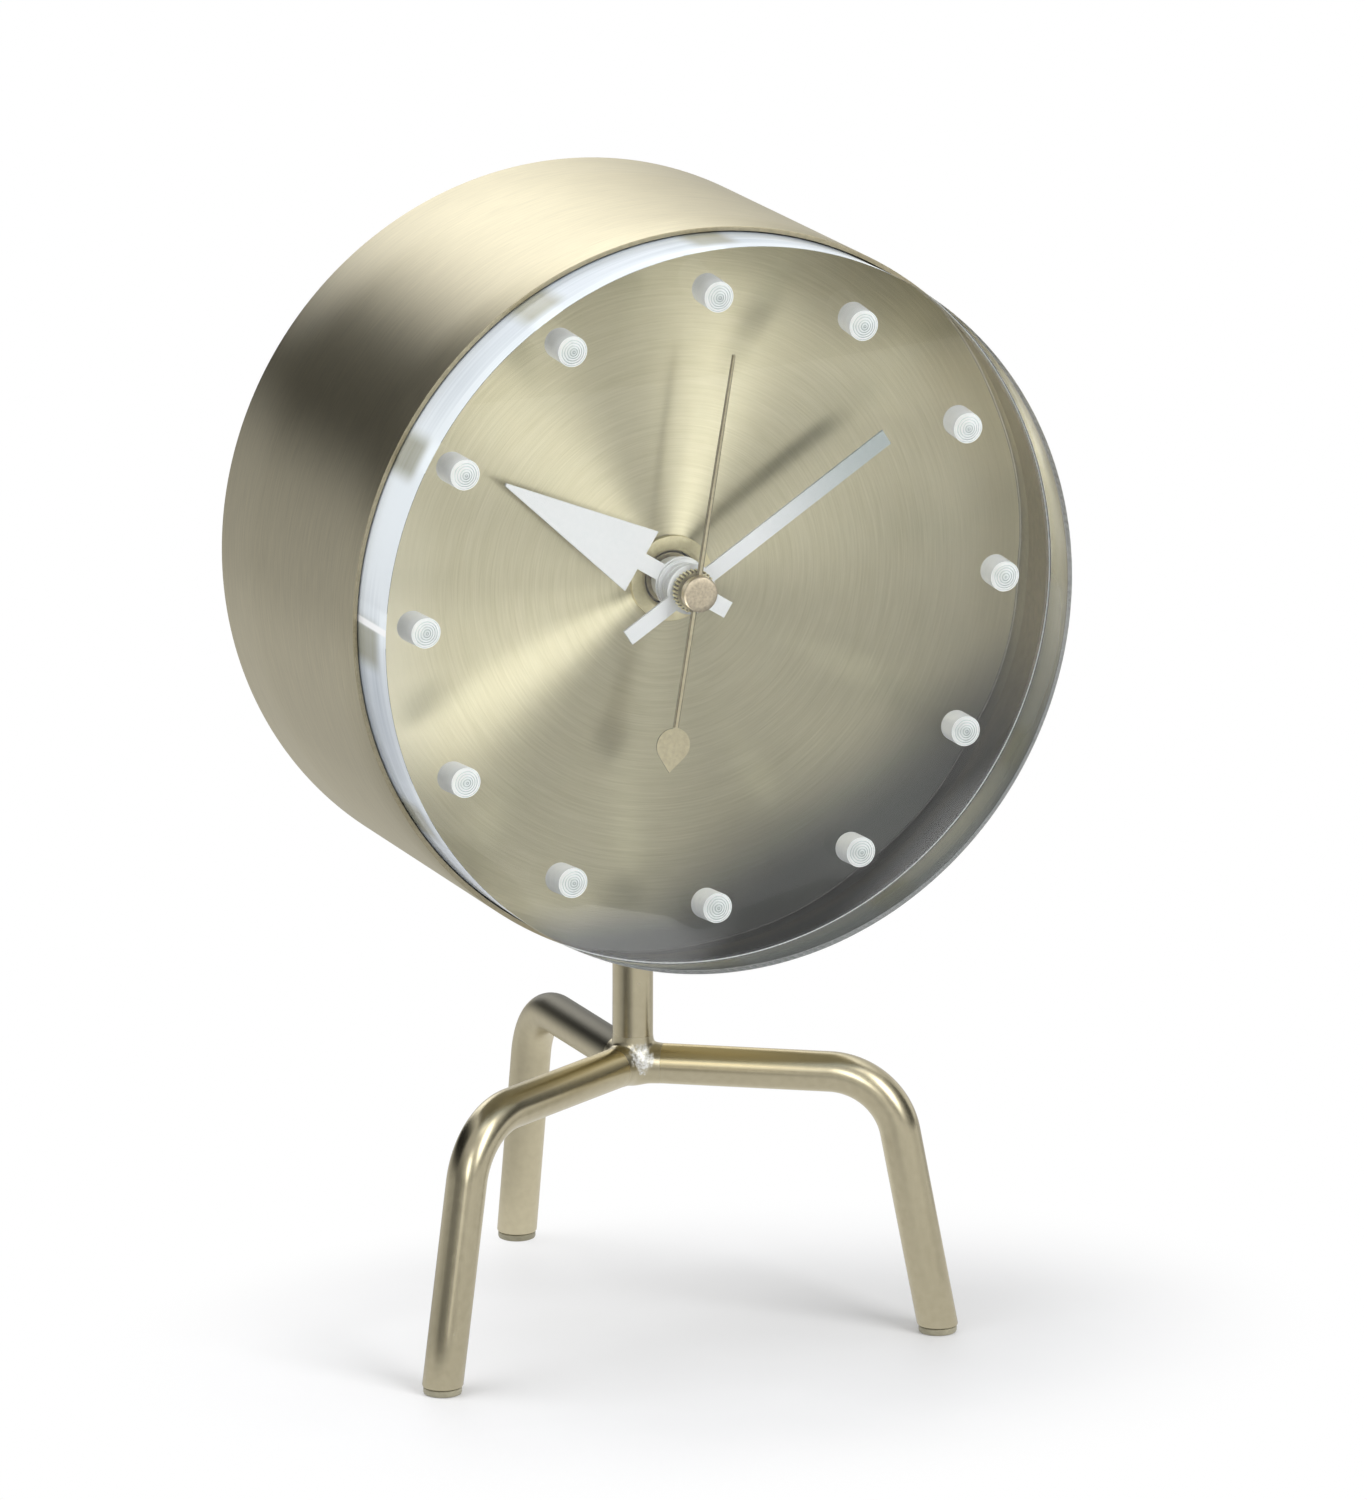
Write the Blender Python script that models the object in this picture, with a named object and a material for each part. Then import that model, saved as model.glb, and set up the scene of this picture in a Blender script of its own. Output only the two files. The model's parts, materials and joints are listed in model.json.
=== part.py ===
# Brass tripod clock: a short drum with a thick clear front disc on three bent rods.
# Metres, +Z up. The clock faces -Y and stands on Z = 0, with the middle of its box over the origin.
import math

import bmesh
import bpy
from mathutils import Matrix, Vector, geometry

# Fits: a face on its neighbour, a press fit on a shaft, a turning piece, and a cutter's overrun
seat_gap = 0.0003
press_gap = 0.00015
running_gap = 0.0003
mitre_gap = 0.0003
cut_overrun = 0.0010

# Drum
drum_diameter = 0.105
drum_depth = 0.051
drum_wall = 0.0006
drum_edge_break = 0.00012
drum_radius = drum_diameter / 2
drum_inner_radius = drum_radius - drum_wall
inner_fit_radius = drum_inner_radius - seat_gap

# Clear front disc, with twelve blind holes drilled from its back as hour marks
crystal_thickness = 0.0150
crystal_inset = 0.0047
crystal_side_gap = 0.00025
crystal_chamfer = 0.00025
crystal_radius = drum_inner_radius - crystal_side_gap
crystal_projection = crystal_thickness - crystal_inset
mark_count = 12
mark_diameter = 0.0043
mark_edge_distance = 0.00845
mark_front_cover = 0.0074
mark_point_height = 0.0008
mark_ring_radius = crystal_radius - mark_edge_distance
mark_depth = crystal_thickness - mark_front_cover

# Shafts of the hands, each turning inside the next
second_pin_radius = 0.00045
minute_bore_radius = second_pin_radius + running_gap
minute_shaft_wall = 0.0010
minute_shaft_radius = minute_bore_radius + minute_shaft_wall
hour_tube_wall = 0.00045
hour_bore_radius = minute_shaft_radius + running_gap
hour_tube_radius = hour_bore_radius + hour_tube_wall

# Threaded neck of the movement, with its nut on the dial and its washer behind
neck_wall = 0.0007
neck_bore_radius = hour_tube_radius + running_gap
neck_radius = neck_bore_radius + neck_wall
neck_flange_width = 0.0025
neck_flange_thickness = 0.0008
neck_end_below_nut = 0.0005
nut_rim = 0.0021
nut_thickness = 0.0007
nut_edge_break = 0.00015
nut_bore_radius = neck_radius + seat_gap
washer_width = 0.0052
washer_thickness = 0.0007

# Hands: each height is from the face below it to its own face, each length from the axis
hand_thickness = 0.0004
hour_hand_rise = 0.0039
hour_hand_reach = 0.0299
hour_hand_tail = 0.0082
hour_blade_start = 0.0067
hour_blade_half_width = 0.0046
hour_tip_half_width = 0.0002
hour_strip_width = 0.0024
hour_bush_wall = 0.00045
hour_bush_front = 0.0020
hour_bush_back = 0.0024
hour_ring_width = 0.0006
hour_hub_bore = hour_tube_radius + press_gap
hour_bush_radius = hour_hub_bore + hour_bush_wall
hour_ring_radius = hour_bush_radius + hour_ring_width
minute_hand_rise = 0.0035
minute_hand_reach = 0.0344
minute_hand_tail = 0.0110
minute_strip_width = 0.0023
minute_ring_width = 0.0016
minute_hub_bore = minute_shaft_radius + press_gap
minute_ring_radius = minute_hub_bore + minute_ring_width
minute_nut_wall = 0.0011
minute_nut_height = 0.0011
minute_nut_notch_depth = 0.0003
minute_nut_notches = 20
minute_nut_radius = minute_hub_bore + minute_nut_wall
second_hand_rise = 0.00195
second_hand_thickness = 0.0002
second_hand_reach = 0.0331
second_tip_width = 0.00045
second_root_width = 0.0008
second_ring_width = 0.0008
second_hub_bore = second_pin_radius + press_gap
second_ring_radius = second_hub_bore + second_ring_width
leaf_start = 0.0190
leaf_end = 0.0253
leaf_radius = 0.00245
cap_radius = 0.0025
cap_height = 0.0012
cap_edge_break = 0.0002
cap_bore_depth = 0.0007
cap_to_crystal = 0.0016
hour_hand_height = hour_hand_rise
minute_hand_height = hour_hand_height + minute_hand_rise
second_hand_height = minute_hand_height + second_hand_rise
cap_back = second_hand_height + press_gap
crystal_back_over_dial = cap_back + cap_height + cap_to_crystal

# Dial, a shallow pan under a sleeve that spaces it from the clear disc, and the ring behind it
dial_thickness = 0.0010
dial_flange_height = 0.0032
dial_flange_thickness = 0.0004
dial_setback = crystal_inset + crystal_back_over_dial
sleeve_wall = 0.0005
retainer_width = 0.0036
retainer_thickness = 0.0015
drum_back_over_dial = dial_setback - drum_depth

# The time that the hands show, as clockwise turns from twelve
hour_turn = math.radians(302.1)
minute_turn = math.radians(57.0)
second_turn = math.radians(9.4)

# Quartz movement behind the dial: its AA cell, the housing round the cell, and the setting knob
cell_diameter = 0.0145
cell_length = 0.0505
cell_nub_radius = 0.0027
cell_nub_length = 0.0012
cell_edge_break = 0.0005
bay_end_gap = 0.00135
bay_side_gap = 0.0003
bay_end_wall = 0.0014
bay_lower_wall = 0.0009
bay_front_wall = 0.0007
contact_thickness = 0.0004
contact_width = 0.0080
bay_length = cell_length + 2 * bay_end_gap
bay_width = cell_diameter + 2 * bay_side_gap
movement_size = bay_length + 2 * bay_end_wall
movement_corner_radius = 0.0022
movement_base_depth = 0.0045
movement_cover_step = 0.0004
movement_cover_depth = cell_diameter + seat_gap + bay_front_wall - movement_base_depth - seat_gap
cell_centre_drop = movement_size / 2 - movement_cover_step - bay_lower_wall - bay_width / 2
knob_edge_distance = 0.0150
knob_radius = 0.0065
knob_height = 0.0035
knob_notch_depth = 0.0004
knob_notches = 18
knob_shaft_radius = 0.0020
knob_shaft_end_gap = 0.0017
knob_shaft_length = movement_cover_depth - knob_shaft_end_gap
knob_centre_rise = movement_size / 2 - knob_edge_distance

# Depths of the movement's faces, measured like the hands' heights and so negative behind the dial
washer_back = -dial_thickness - seat_gap - washer_thickness
neck_back = washer_back - seat_gap - neck_flange_thickness
base_front = neck_back - seat_gap
base_back = base_front - movement_base_depth
cover_front = base_back - seat_gap
cover_back = cover_front - movement_cover_depth
shaft_back = cover_front + seat_gap

# Rear cover and the lugs that carry it
cover_thickness = 0.0010
cover_recess = 0.0010
cover_rim_width = 0.0136
lug_width = 0.0056
lug_length = 0.0060
lug_count = 3
lug_angle = math.radians(10.0)

# Three bent legs, brazed together under the stem
rod_diameter = 0.0058
rod_radius = rod_diameter / 2
hub_height = 0.0384
leg_corner_height = 0.0379
leg_bend_radius = 0.0105
foot_radius = 0.0440
foot_spread = 0.0072
pad_thickness = 0.0008
bead_width = 0.0007
bead_height = 0.0008
bead_depth = 0.0014
leg_turns = {
    "leg_left": math.radians(-60.0),
    "leg_right": math.radians(60.0),
    "leg_rear": math.radians(180.0),
}
leg_corner_radius = foot_radius - foot_spread
leg_end_height = pad_thickness + seat_gap
leg_splay = math.atan2(foot_spread, leg_corner_height - leg_end_height)

# Stem, and the stud, washer and nut that hold the drum on it behind the dial's retainer
stem_rise = 0.0216
stud_radius = 0.0020
stud_above_nut = 0.0010
stem_washer_width = 0.0022
stem_washer_thickness = 0.0008
stem_nut_wall = 0.0012
stem_nut_height = 0.0032
stem_nut_clearance = 0.0017
stud_hole_radius = stud_radius + seat_gap
stem_washer_radius = stud_hole_radius + stem_washer_width
stem_nut_corner_radius = (stud_hole_radius + stem_nut_wall) / math.cos(math.pi / 6)
retainer_setback = dial_setback + dial_thickness + seat_gap + retainer_thickness
stem_setback = retainer_setback + stem_nut_clearance + stem_nut_corner_radius
drum_axis_height = hub_height + stem_rise + drum_radius
washer_rise = drum_inner_radius - math.sqrt(drum_inner_radius**2 - stem_washer_radius**2)
stem_washer_low = drum_axis_height - drum_inner_radius + washer_rise + seat_gap
stem_nut_low = stem_washer_low + stem_washer_thickness + seat_gap

# Places along Y, with the middle of the whole depth over the origin
front_reach = crystal_projection + stem_setback
rear_reach = foot_radius + rod_radius / math.cos(leg_splay)
stem_y = (front_reach - rear_reach) / 2
dial_y = stem_y - stem_setback + dial_setback

# Facets round a turned piece, steps along an arc, how flat edges are told from round ones, and
# how plates are filled. The twists keep facets from meeting edge to edge where pieces are saddled.
large_sides = 96
ring_sides = 72
small_sides = 32
stem_twist = math.radians(2.0)
mark_sides = 16
rod_sides = 20
saddle_twist = math.radians(6.0)
bend_steps = 10
hub_arc_steps = 14
leaf_arc_steps = 9
corner_steps = 4
round_angle = math.radians(30.0)
same_point = 0.0000001
whole_faces_without_holes = 5


def clear_scene():
    for old in list(bpy.data.objects):
        bpy.data.objects.remove(old, do_unlink=True)


def make_material(name, colour, roughness, metallic, transmission=0.0):
    material = bpy.data.materials.new(name)
    material.use_nodes = True
    shader = material.node_tree.nodes["Principled BSDF"]
    shader.inputs["Base Color"].default_value = (*colour, 1.0)
    shader.inputs["Roughness"].default_value = roughness
    shader.inputs["Metallic"].default_value = metallic
    shader.inputs["Transmission Weight"].default_value = transmission
    material.diffuse_color = (*colour, 1.0)
    return material


def add_frame(name, location, rotation=(0.0, 0.0, 0.0), parent=None):
    """An empty that carries the pieces of one axis."""
    frame = bpy.data.objects.new(name, None)
    frame.empty_display_size = drum_wall
    frame.location = location
    frame.rotation_euler = rotation
    frame.parent = parent
    bpy.context.scene.collection.objects.link(frame)
    return frame


def add_piece(name, bm, material, parent=None, location=(0.0, 0.0, 0.0), rotation=(0.0, 0.0, 0.0)):
    """Turn a bmesh into a named object, smooth where it is round."""
    bmesh.ops.recalc_face_normals(bm, faces=bm.faces)
    mesh = bpy.data.meshes.new(name)
    bm.to_mesh(mesh)
    bm.free()
    mesh.shade_smooth()
    mesh.set_sharp_from_angle(angle=round_angle)
    piece = bpy.data.objects.new(name, mesh)
    if material is not None:
        mesh.materials.append(material)
    piece.location = location
    piece.rotation_euler = rotation
    piece.parent = parent
    bpy.context.scene.collection.objects.link(piece)
    return piece


def hide_tool(tool):
    tool.hide_render = True
    tool.display_type = "WIRE"


def combine(piece, tool, operation):
    """Add an exact Boolean of piece and tool, and keep the tool as a hidden guide."""
    modifier = piece.modifiers.new(operation.lower(), "BOOLEAN")
    modifier.operation = operation
    modifier.object = tool
    modifier.solver = "EXACT"
    hide_tool(tool)


def circle_points(radius, sides, start=0.0, centre=(0.0, 0.0)):
    """Points round a circle, anticlockwise from the start angle."""
    step = 2 * math.pi / sides
    return [
        (centre[0] + radius * math.cos(start + i * step), centre[1] + radius * math.sin(start + i * step))
        for i in range(sides)
    ]


def arc_points(centre, radius, start, end, steps):
    """Points along an arc, both ends included."""
    return [
        (
            centre[0] + radius * math.cos(start + (end - start) * i / steps),
            centre[1] + radius * math.sin(start + (end - start) * i / steps),
        )
        for i in range(steps + 1)
    ]


def turn_profile(profile, sides, closed=True):
    """Revolve (radius, height) points about Z. A closed profile is a ring; an open one ends on the axis."""
    bm = bmesh.new()
    rings = []
    for radius, height in profile:
        if radius == 0:
            rings.append([bm.verts.new((0.0, 0.0, height))])
        else:
            rings.append([bm.verts.new((x, y, height)) for x, y in circle_points(radius, sides)])
    pairs = list(zip(rings, rings[1:]))
    if closed:
        pairs.append((rings[-1], rings[0]))
    for lower, upper in pairs:
        for i in range(sides):
            j = (i + 1) % sides
            if len(lower) == 1:
                bm.faces.new((lower[0], upper[j], upper[i]))
            elif len(upper) == 1:
                bm.faces.new((lower[i], lower[j], upper[0]))
            else:
                bm.faces.new((lower[i], lower[j], upper[j], upper[i]))
    return bm


def ring_profile(inner, outer, low, high, edge=0.0):
    """Cross-section of a ring, with its outer edges broken when an edge size is given."""
    if edge == 0:
        return [(inner, low), (outer, low), (outer, high), (inner, high)]
    return [
        (inner, low),
        (outer - edge, low),
        (outer, low + edge),
        (outer, high - edge),
        (outer - edge, high),
        (inner, high),
    ]


def disc_profile(radius, low, high, edge=0.0):
    """Half section of a solid disc from the axis at its low face to the axis at its high face."""
    if edge == 0:
        return [(0, low), (radius, low), (radius, high), (0, high)]
    return [
        (0, low),
        (radius - edge, low),
        (radius, low + edge),
        (radius, high - edge),
        (radius - edge, high),
        (0, high),
    ]


def extrude_outlines(outlines, low, high):
    """A flat plate between two heights from one outer outline and any holes in it."""
    points = [Vector(point) for outline in outlines for point in outline]
    loops = []
    for outline in outlines:
        start = sum(len(loop) for loop in loops)
        loops.append(range(start, start + len(outline)))
    fill = geometry.delaunay_2d_cdt(points, [], loops, whole_faces_without_holes, same_point)
    bm = bmesh.new()
    corners = [bm.verts.new((point.x, point.y, low)) for point in fill[0]]
    for face in fill[2]:
        bm.faces.new([corners[i] for i in face])
    raised = bmesh.ops.extrude_face_region(bm, geom=bm.faces[:])
    corners = [item for item in raised["geom"] if isinstance(item, bmesh.types.BMVert)]
    bmesh.ops.translate(bm, verts=corners, vec=(0.0, 0.0, high - low))
    return bm


def make_box(low, high):
    bm = bmesh.new()
    size = [b - a for a, b in zip(low, high)]
    middle = [(a + b) / 2 for a, b in zip(low, high)]
    bmesh.ops.create_cube(bm, size=1.0, matrix=Matrix.Translation(middle) @ Matrix.Diagonal((*size, 1.0)))
    return bm


def rounded_square(size, radius):
    """Outline of a square plate with round corners."""
    reach = size / 2 - radius
    outline = []
    for i, (sx, sy) in enumerate(((1, 1), (-1, 1), (-1, -1), (1, -1))):
        start = i * math.pi / 2
        outline += arc_points((sx * reach, sy * reach), radius, start, start + math.pi / 2, corner_steps)
    return outline


def notched_circle(radius, depth, notches):
    """Outline of a round nut or knob with square notches round its edge."""
    pitch = 2 * math.pi / notches
    outline = []
    for i in range(notches):
        for share, r in ((0.0, radius), (0.5, radius), (0.5, radius - depth), (1.0, radius - depth)):
            angle = (i + share) * pitch
            outline.append((r * math.cos(angle), r * math.sin(angle)))
    return outline


# Head: everything whose height is measured over the dial face, towards the viewer


def drum_shell(head, brass):
    """Thin tube, pierced underneath for the stem's stud."""
    profile = [
        (drum_inner_radius, drum_back_over_dial),
        (drum_radius - drum_edge_break, drum_back_over_dial),
        (drum_radius, drum_back_over_dial + drum_edge_break),
        (drum_radius, dial_setback - drum_edge_break),
        (drum_radius - drum_edge_break, dial_setback),
        (drum_inner_radius, dial_setback),
    ]
    shell = add_piece("drum_shell", turn_profile(profile, large_sides), brass, head)
    drill = disc_profile(stud_hole_radius, 0.0, drum_wall + 2 * cut_overrun)
    hole = add_piece(
        "stud_hole_tool",
        turn_profile(drill, small_sides, False),
        None,
        head,
        location=(0.0, -drum_radius - cut_overrun, dial_setback - stem_setback),
        rotation=(-math.pi / 2, 0.0, 0.0),
    )
    combine(shell, hole, "DIFFERENCE")
    return shell


def crystal(head, clear):
    """Thick disc that fills the drum's mouth, drilled from behind at each hour."""
    back = crystal_back_over_dial
    front = back + crystal_thickness
    disc = add_piece(
        "crystal",
        turn_profile(disc_profile(crystal_radius, back, front, crystal_chamfer), large_sides, False),
        clear,
        head,
    )
    drills = bmesh.new()
    shoulder = back + mark_depth
    radius = mark_diameter / 2
    profile = [
        (0, back - cut_overrun),
        (radius, back - cut_overrun),
        (radius, shoulder),
        (0, shoulder + mark_point_height),
    ]
    for i in range(mark_count):
        angle = 2 * math.pi * i / mark_count
        drill = turn_profile(profile, mark_sides, False)
        place = (mark_ring_radius * math.sin(angle), mark_ring_radius * math.cos(angle), 0.0)
        drill.transform(Matrix.Translation(place))
        loose = bpy.data.meshes.new("drill")
        drill.to_mesh(loose)
        drill.free()
        drills.from_mesh(loose)
        bpy.data.meshes.remove(loose)
    combine(disc, add_piece("hour_mark_tool", drills, None, head), "DIFFERENCE")
    return disc


def spacer_sleeve(head, brass):
    """Liner between the dial's edge and the clear disc, which shows as the drum's inner wall."""
    low = dial_flange_height + seat_gap
    high = crystal_back_over_dial - seat_gap
    profile = ring_profile(inner_fit_radius - sleeve_wall, inner_fit_radius, low, high)
    return add_piece("spacer_sleeve", turn_profile(profile, large_sides), brass, head)


def dial_plate(head, brass):
    """Shallow pan with an upturned edge, and a hole for the movement's neck."""
    inside = inner_fit_radius - dial_flange_thickness
    hole = neck_radius + seat_gap
    profile = [
        (hole, -dial_thickness),
        (inner_fit_radius, -dial_thickness),
        (inner_fit_radius, dial_flange_height),
        (inside, dial_flange_height),
        (inside, 0.0),
        (hole, 0.0),
    ]
    return add_piece("dial_plate", turn_profile(profile, large_sides), brass, head)


def dial_retainer(head, brass):
    high = -dial_thickness - seat_gap
    inner = inner_fit_radius - retainer_width
    profile = ring_profile(inner, inner_fit_radius, high - retainer_thickness, high)
    return add_piece("dial_retainer", turn_profile(profile, ring_sides), brass, head)


def dial_nut(head, brass):
    outer = nut_bore_radius + nut_rim
    profile = ring_profile(nut_bore_radius, outer, seat_gap, seat_gap + nut_thickness, nut_edge_break)
    return add_piece("dial_nut", turn_profile(profile, small_sides), brass, head)


def dial_washer(head, rubber):
    inner = neck_radius + seat_gap
    profile = ring_profile(inner, inner + washer_width, washer_back, washer_back + washer_thickness)
    return add_piece("dial_washer", turn_profile(profile, small_sides), rubber, head)


def movement_neck(head, brass):
    """Flanged tube that the dial nut screws onto and the hands' shafts turn in."""
    top = seat_gap + nut_thickness - neck_end_below_nut
    flange_radius = neck_radius + neck_flange_width
    profile = [
        (neck_bore_radius, neck_back),
        (flange_radius, neck_back),
        (flange_radius, neck_back + neck_flange_thickness),
        (neck_radius, neck_back + neck_flange_thickness),
        (neck_radius, top),
        (neck_bore_radius, top),
    ]
    return add_piece("movement_neck", turn_profile(profile, small_sides), brass, head)


def bay_outline():
    """Outline of the cell's bay, seen from the front."""
    half_length = bay_length / 2
    half_height = bay_width / 2
    return [
        (-half_length, -cell_centre_drop - half_height),
        (half_length, -cell_centre_drop - half_height),
        (half_length, -cell_centre_drop + half_height),
        (-half_length, -cell_centre_drop + half_height),
    ]


def movement_base(head, plastic):
    """Front half of the movement's housing, bored for the shafts and hollowed for the cell's front."""
    outlines = [
        rounded_square(movement_size, movement_corner_radius),
        circle_points(neck_bore_radius, small_sides),
    ]
    base = add_piece("movement_base", extrude_outlines(outlines, base_back, base_front), plastic, head)
    floor = cover_back + cell_diameter + seat_gap
    low, high = bay_outline()[0], bay_outline()[2]
    bay = add_piece("bay_tool", make_box((*low, base_back - cut_overrun), (*high, floor)), None, head)
    combine(base, bay, "DIFFERENCE")
    return base


def movement_cover(head, plastic):
    """Rear half of the housing, open for the cell and bored for the setting knob's shaft."""
    outlines = [
        rounded_square(movement_size - 2 * movement_cover_step, movement_corner_radius - movement_cover_step),
        bay_outline(),
        circle_points(knob_shaft_radius + running_gap, small_sides, centre=(0.0, knob_centre_rise)),
    ]
    return add_piece("movement_cover", extrude_outlines(outlines, cover_back, cover_front), plastic, head)


def battery_cell(head, steel):
    """AA cell that lies across the bay, its nub towards +X."""
    radius = cell_diameter / 2
    shoulder = cell_length / 2 - cell_nub_length
    profile = [
        (0, -cell_length / 2),
        (radius - cell_edge_break, -cell_length / 2),
        (radius, -cell_length / 2 + cell_edge_break),
        (radius, shoulder - cell_edge_break),
        (radius - cell_edge_break, shoulder),
        (cell_nub_radius, shoulder),
        (cell_nub_radius, cell_length / 2),
        (0, cell_length / 2),
    ]
    centre = (0.0, -cell_centre_drop, cover_back + radius)
    bm = turn_profile(profile, small_sides, False)
    return add_piece("battery_cell", bm, steel, head, location=centre, rotation=(0.0, math.pi / 2, 0.0))


def battery_contacts(head, steel):
    """A bowed leaf at each end of the bay, its ends on the bay's wall and its middle at the cell."""
    ends_at = bay_length / 2 - seat_gap - contact_thickness
    bow = ends_at - cell_length / 2 - seat_gap
    radius = (contact_width**2 / 4 + bow**2) / (2 * bow)
    half_angle = math.asin(contact_width / 2 / radius)
    start, end = math.pi - half_angle, math.pi + half_angle
    centre = (ends_at - bow + radius, -cell_centre_drop)
    outline = arc_points(centre, radius, start, end, corner_steps)
    outline += arc_points(centre, radius - contact_thickness, end, start, corner_steps)
    low = cover_back + (cell_diameter - contact_width) / 2
    for name, side in (("contact_positive", 1), ("contact_negative", -1)):
        sided = [(side * x, y) for x, y in outline]
        add_piece(name, extrude_outlines([sided], low, low + contact_width), steel, head)


def setting_knob(head, plastic):
    """Notched knob on its own axis at the back of the movement."""
    axis = add_frame("knob_axis", (0.0, knob_centre_rise, cover_back), parent=head)
    outline = notched_circle(knob_radius, knob_notch_depth, knob_notches)
    bm = extrude_outlines([outline], -seat_gap - knob_height, -seat_gap)
    knob = add_piece("setting_knob", bm, plastic, axis)
    shaft = disc_profile(knob_shaft_radius, -seat_gap - knob_height / 2, knob_shaft_length)
    combine(knob, add_piece("knob_shaft_tool", turn_profile(shaft, small_sides, False), None, axis), "UNION")
    return knob


def rear_cover(head, brass):
    """Flat ring set into the drum's back, open in the middle to reach the movement."""
    low = drum_back_over_dial + cover_recess
    profile = ring_profile(inner_fit_radius - cover_rim_width, inner_fit_radius, low, low + cover_thickness)
    return add_piece("rear_cover", turn_profile(profile, ring_sides), brass, head)


def cover_lugs(head, brass):
    """Blocks on the drum's wall that the rear cover is screwed to."""
    low = drum_back_over_dial + cover_recess + cover_thickness + seat_gap
    outer = inner_fit_radius
    inner = outer - lug_width
    for i in range(lug_count):
        middle = math.pi / 2 + 2 * math.pi * i / lug_count
        start, end = middle - lug_angle / 2, middle + lug_angle / 2
        outline = arc_points((0.0, 0.0), outer, start, end, corner_steps)
        outline += arc_points((0.0, 0.0), inner, end, start, corner_steps)
        add_piece(f"cover_lug_{i + 1}", extrude_outlines([outline], low, low + lug_length), brass, head)


# Hands, each on its own axis frame, pointing to twelve in that frame


def ring_gap_angle(ring_radius, strip_width):
    """Half the angle of a hub ring that a strip of this width covers."""
    return math.asin(strip_width / 2 / ring_radius)


def hour_hand(axis, white):
    """Pointed blade on a strip with a short tail, and the stepped bush that grips the hour tube."""
    half = hour_strip_width / 2
    gap = ring_gap_angle(hour_ring_radius, hour_strip_width)
    up, down = math.pi / 2, -math.pi / 2
    outline = [(half, -hour_hand_tail)]
    outline += arc_points((0.0, 0.0), hour_ring_radius, down + gap, up - gap, hub_arc_steps)
    outline += [
        (half, hour_blade_start),
        (hour_blade_half_width, hour_blade_start),
        (hour_tip_half_width, hour_hand_reach),
        (-hour_tip_half_width, hour_hand_reach),
        (-hour_blade_half_width, hour_blade_start),
        (-half, hour_blade_start),
    ]
    outline += arc_points((0.0, 0.0), hour_ring_radius, up + gap, up + math.pi - gap, hub_arc_steps)
    outline += [(-half, -hour_hand_tail)]
    back = hour_hand_height - hand_thickness
    hole = circle_points(hour_hub_bore + hour_bush_wall / 2, small_sides)
    plate = extrude_outlines([outline, hole], back, hour_hand_height)
    hand = add_piece("hour_hand", plate, white, axis)
    front = hour_hand_height + hour_bush_front
    bush = ring_profile(hour_hub_bore, hour_bush_radius, back - hour_bush_back, front)
    combine(hand, add_piece("hour_bush_tool", turn_profile(bush, small_sides), None, axis), "UNION")
    return hand


def hour_tube(axis, brass):
    high = hour_hand_height + hour_bush_front - seat_gap
    profile = ring_profile(hour_bore_radius, hour_tube_radius, shaft_back, high)
    return add_piece("hour_tube", turn_profile(profile, small_sides), brass, axis)


def minute_hand(axis, white):
    """Parallel strip with a ring round the shaft and a short tail."""
    half = minute_strip_width / 2
    gap = ring_gap_angle(minute_ring_radius, minute_strip_width)
    up, down = math.pi / 2, -math.pi / 2
    outline = [(half, -minute_hand_tail)]
    outline += arc_points((0.0, 0.0), minute_ring_radius, down + gap, up - gap, hub_arc_steps)
    outline += [(half, minute_hand_reach), (-half, minute_hand_reach)]
    outline += arc_points((0.0, 0.0), minute_ring_radius, up + gap, up + math.pi - gap, hub_arc_steps)
    outline += [(-half, -minute_hand_tail)]
    hole = circle_points(minute_hub_bore, small_sides)
    plate = extrude_outlines([outline, hole], minute_hand_height - hand_thickness, minute_hand_height)
    return add_piece("minute_hand", plate, white, axis)


def minute_nut(axis, brass):
    """Notched collar that holds the minute hand on its shaft."""
    low = minute_hand_height + seat_gap
    outlines = [
        notched_circle(minute_nut_radius, minute_nut_notch_depth, minute_nut_notches),
        circle_points(minute_hub_bore, small_sides),
    ]
    return add_piece("minute_nut", extrude_outlines(outlines, low, low + minute_nut_height), brass, axis)


def minute_shaft(axis, steel):
    high = minute_hand_height + seat_gap + minute_nut_height
    profile = ring_profile(minute_bore_radius, minute_shaft_radius, shaft_back, high)
    return add_piece("minute_shaft", turn_profile(profile, small_sides), steel, axis)


def second_hand(axis, brass):
    """Fine needle with a leaf-shaped counterweight on its tail."""
    root = second_root_width / 2
    tip = second_tip_width / 2
    gap = ring_gap_angle(second_ring_radius, second_root_width)
    leaf_centre = -(leaf_start + leaf_radius)
    leaf_gap = ring_gap_angle(leaf_radius, second_root_width)
    tangent = math.acos(leaf_radius / (leaf_end - leaf_start - leaf_radius))
    up, down = math.pi / 2, -math.pi / 2
    outline = [(0.0, -leaf_end)]
    outline += arc_points((0.0, leaf_centre), leaf_radius, down + tangent, up - leaf_gap, leaf_arc_steps)
    outline += arc_points((0.0, 0.0), second_ring_radius, down + gap, up - gap, leaf_arc_steps)
    outline += [(tip, second_hand_reach), (-tip, second_hand_reach)]
    outline += arc_points((0.0, 0.0), second_ring_radius, up + gap, up + math.pi - gap, leaf_arc_steps)
    left_end = up + math.pi - tangent
    outline += arc_points((0.0, leaf_centre), leaf_radius, up + leaf_gap, left_end, leaf_arc_steps)
    hole = circle_points(second_hub_bore, mark_sides)
    low = second_hand_height - second_hand_thickness
    return add_piece("second_hand", extrude_outlines([outline, hole], low, second_hand_height), brass, axis)


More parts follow.
